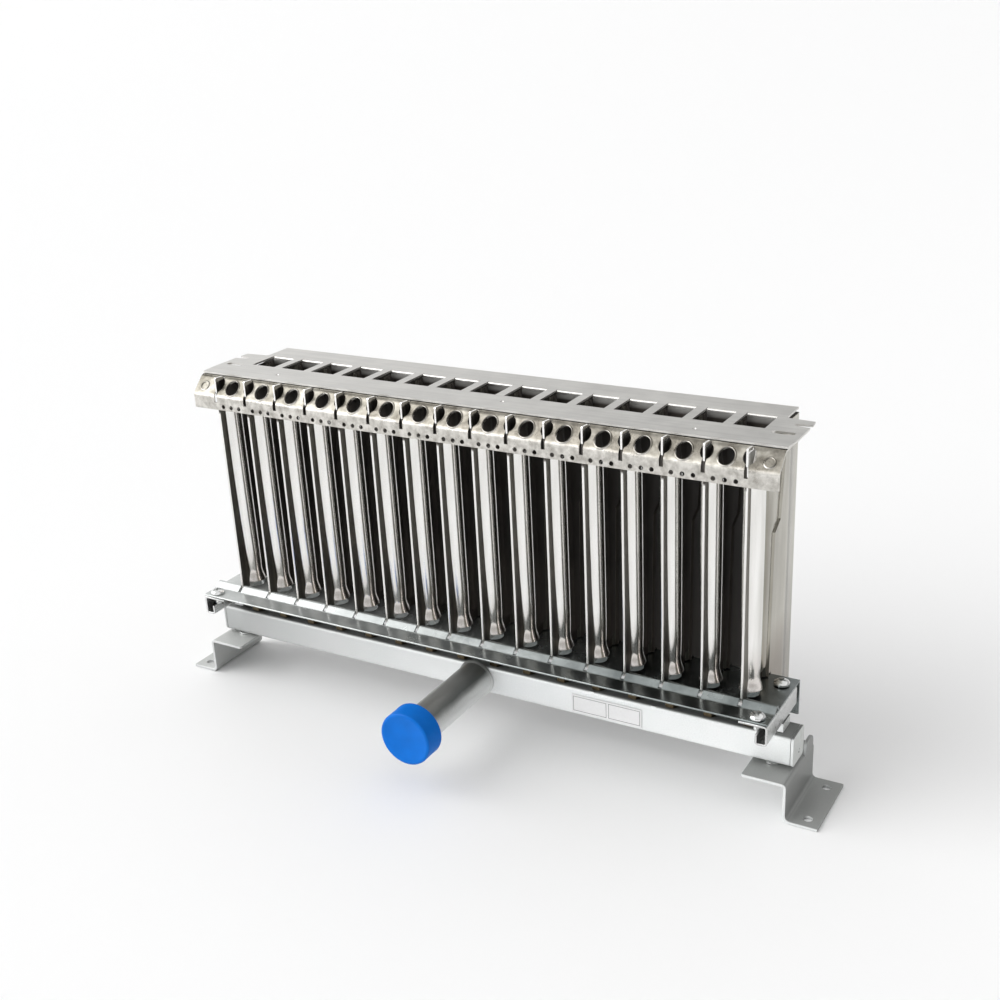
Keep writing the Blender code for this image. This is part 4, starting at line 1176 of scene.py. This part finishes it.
def build_feet():
    """Z-shaped feet with rolled bends, two floor holes and a lug behind the manifold."""
    ground = FOOT_LOW.z + FOOT_SHEET
    path = rounded([(FOOT_LOW.x, FOOT_TOP), (FOOT_WEB_X, FOOT_TOP), (FOOT_WEB_X, ground),
                    (FOOT_HIGH.x, ground)], FOOT_BEND)
    ear_back, ear_low = FOOT_HIGH.y - 1.2, FOOT_TOP - 4
    ear_outline = rounded([(EAR_FRONT, ear_low), (EAR_FRONT, EAR_TOP), (ear_back, EAR_TOP),
                           (ear_back, ear_low)], EAR_CORNER, steps=6)
    corner = [(FOOT_LOW.x - PAST, FOOT_LOW.y - PAST), (FOOT_LOW.x + CLIPPED_CORNER, FOOT_LOW.y - PAST),
              (FOOT_LOW.x - PAST, FOOT_LOW.y + CLIPPED_CORNER)]
    for name, side in SIDES.items():
        foot = bent_sheet(path, FOOT_SHEET, "Y", FOOT_LOW.y, FOOT_HIGH.y)
        ear = prism(ear_outline, "X", FOOT_WEB_X - FOOT_SHEET + 0.02, FOOT_WEB_X - 0.02)
        holes = [rod((FLOOR_HOLE_X, y), FLOOR_HOLE_RADIUS, 28, "Z", FOOT_LOW.z - PAST, ground + PAST)
                 for y in FLOOR_HOLES_Y]
        holes.append(rod(TOP_HOLE, TOP_HOLE_RADIUS, 20, "Z", FOOT_TOP - 3, FOOT_TOP + PAST))
        holes.append(prism(corner, "Z", FOOT_TOP - 3, FOOT_TOP + PAST))
        foot = together([cut(foot, together(holes)), ear])
        if side < 0:
            mirrored(foot)
        paint = FOOT_PAINT_LEFT if side < 0 else FOOT_PAINT_RIGHT
        show_shape(f"foot_{name}", foot, [paint], "silver_metal", bevel=0.18)


def finish_small_nodes():
    """The CAD shapes that stay get their finished materials."""
    for name in SIDES:
        for node, look in ((f"manifold_spacer_{name}", PAINT), (f"foot_stud_{name}", FASTENER),
                           (f"foot_washer_{name}", FASTENER), (f"foot_nut_{name}", FASTENER)):
            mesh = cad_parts[node].data
            mesh.materials.clear()
            mesh.materials.append(look)


# ---- studio
WORLD_STRENGTH = 1.65
# Direction (-1 to 1) and light, upwards and towards +X
WORLD_BY_HEIGHT = [(-0.1, 0.9), (0.02, 0.8), (0.25, 0.72), (0.5, 0.5), (0.75, 0.34), (1.0, 0.3)]
WORLD_BY_SIDE = [(-1.0, 1.0), (-0.65, 0.95), (-0.3, 0.62), (0.1, 0.5), (1.0, 0.5)]
FLOOR_RADIUS = 400.0  # in metres, so that its edge lies at the horizon
FLOOR_GAP = 0.0002
# Name, direction that it comes from, strength and angle in degrees
SUNS = [("key", (-0.75, -0.55, 0.5), 2.3, 60.0), ("overhead", (0.1, 0.1, 1.0), 1.0, 90.0)]


def build_floor():
    """A wide pale floor just under the feet."""
    mesh = bpy.data.meshes.new("floor")
    shape = bmesh.new()
    bmesh.ops.create_circle(shape, cap_ends=True, segments=64, radius=FLOOR_RADIUS)
    shape.to_mesh(mesh)
    shape.free()
    look = Look("pale_floor", (0.9, 0.9, 0.9), 0.7, 0.0)
    mesh.materials.append(look.material)
    floor = put("floor", mesh)
    floor.location.z = cad_bounds[0].z - FLOOR_GAP


def build_world():
    """A soft pale room, brighter towards the left and dimmer overhead."""
    world = bpy.data.worlds.new("studio")
    bpy.context.scene.world = world
    world.use_nodes = True
    tree = Tree(world.node_tree, "Generated")
    lights = []
    for axis, stops in (("Z", WORLD_BY_HEIGHT), ("X", WORLD_BY_SIDE)):
        share = tree.span(tree.axis(axis), -1.0, 1.0)
        lights.append(tree.ramp(share, [((direction + 1) / 2, light) for direction, light in stops]))
    background = tree.nodes["Background"].inputs
    tree.feed(background["Color"], tree.mix("MULTIPLY", 1.0, *lights))
    background["Strength"].default_value = WORLD_STRENGTH


def sun(name, direction, strength, angle):
    """A very soft distant light that comes from a direction."""
    data = bpy.data.lights.new(name, "SUN")
    data.energy = strength
    data.angle = math.radians(angle)
    put(name, data).rotation_euler = Vector(direction).to_track_quat("Z", "Y").to_euler()


# The camera's place is in millimetres in the assembly's frame
CAMERA_YAW = math.radians(30.29)
CAMERA_DROP = math.radians(22.35)
CAMERA_ROLL = math.radians(-2.61)
CAMERA_PLACE = (334.7, -522.6, 335.1)
CAMERA_LENS = 47.75
CAMERA_SHIFT = (-0.0174, 0.0219)


def build_camera():
    """The photo's view: a level camera turned by yaw, then tipped by drop and roll."""
    data = bpy.data.cameras.new("camera")
    data.lens = CAMERA_LENS
    data.shift_x, data.shift_y = CAMERA_SHIFT
    camera = put("camera", data)
    forward = Vector((-math.sin(CAMERA_YAW) * math.cos(CAMERA_DROP),
                      math.cos(CAMERA_YAW) * math.cos(CAMERA_DROP), -math.sin(CAMERA_DROP)))
    right = Vector((math.cos(CAMERA_YAW), math.sin(CAMERA_YAW), 0.0))
    up = right.cross(forward)
    tilt_right = right * math.cos(CAMERA_ROLL) + up * math.sin(CAMERA_ROLL)
    tilt_up = up * math.cos(CAMERA_ROLL) - right * math.sin(CAMERA_ROLL)
    turn = Matrix((tilt_right, tilt_up, -forward)).transposed()
    camera.matrix_world = Matrix.Translation(DATUM + Vector(CAMERA_PLACE) * MM) @ turn.to_4x4()
    bpy.context.scene.camera = camera


build_camera()
build_floor()
build_world()
for settings in SUNS:
    sun(*settings)
build_manifold()
build_inlet()
build_label()
build_feet()
build_jets()
build_base_plate()
build_channels()
build_screws()
build_blades()
build_top_plate()
build_front_rail()
finish_small_nodes()
bpy.context.scene.view_settings.view_transform = "Standard"
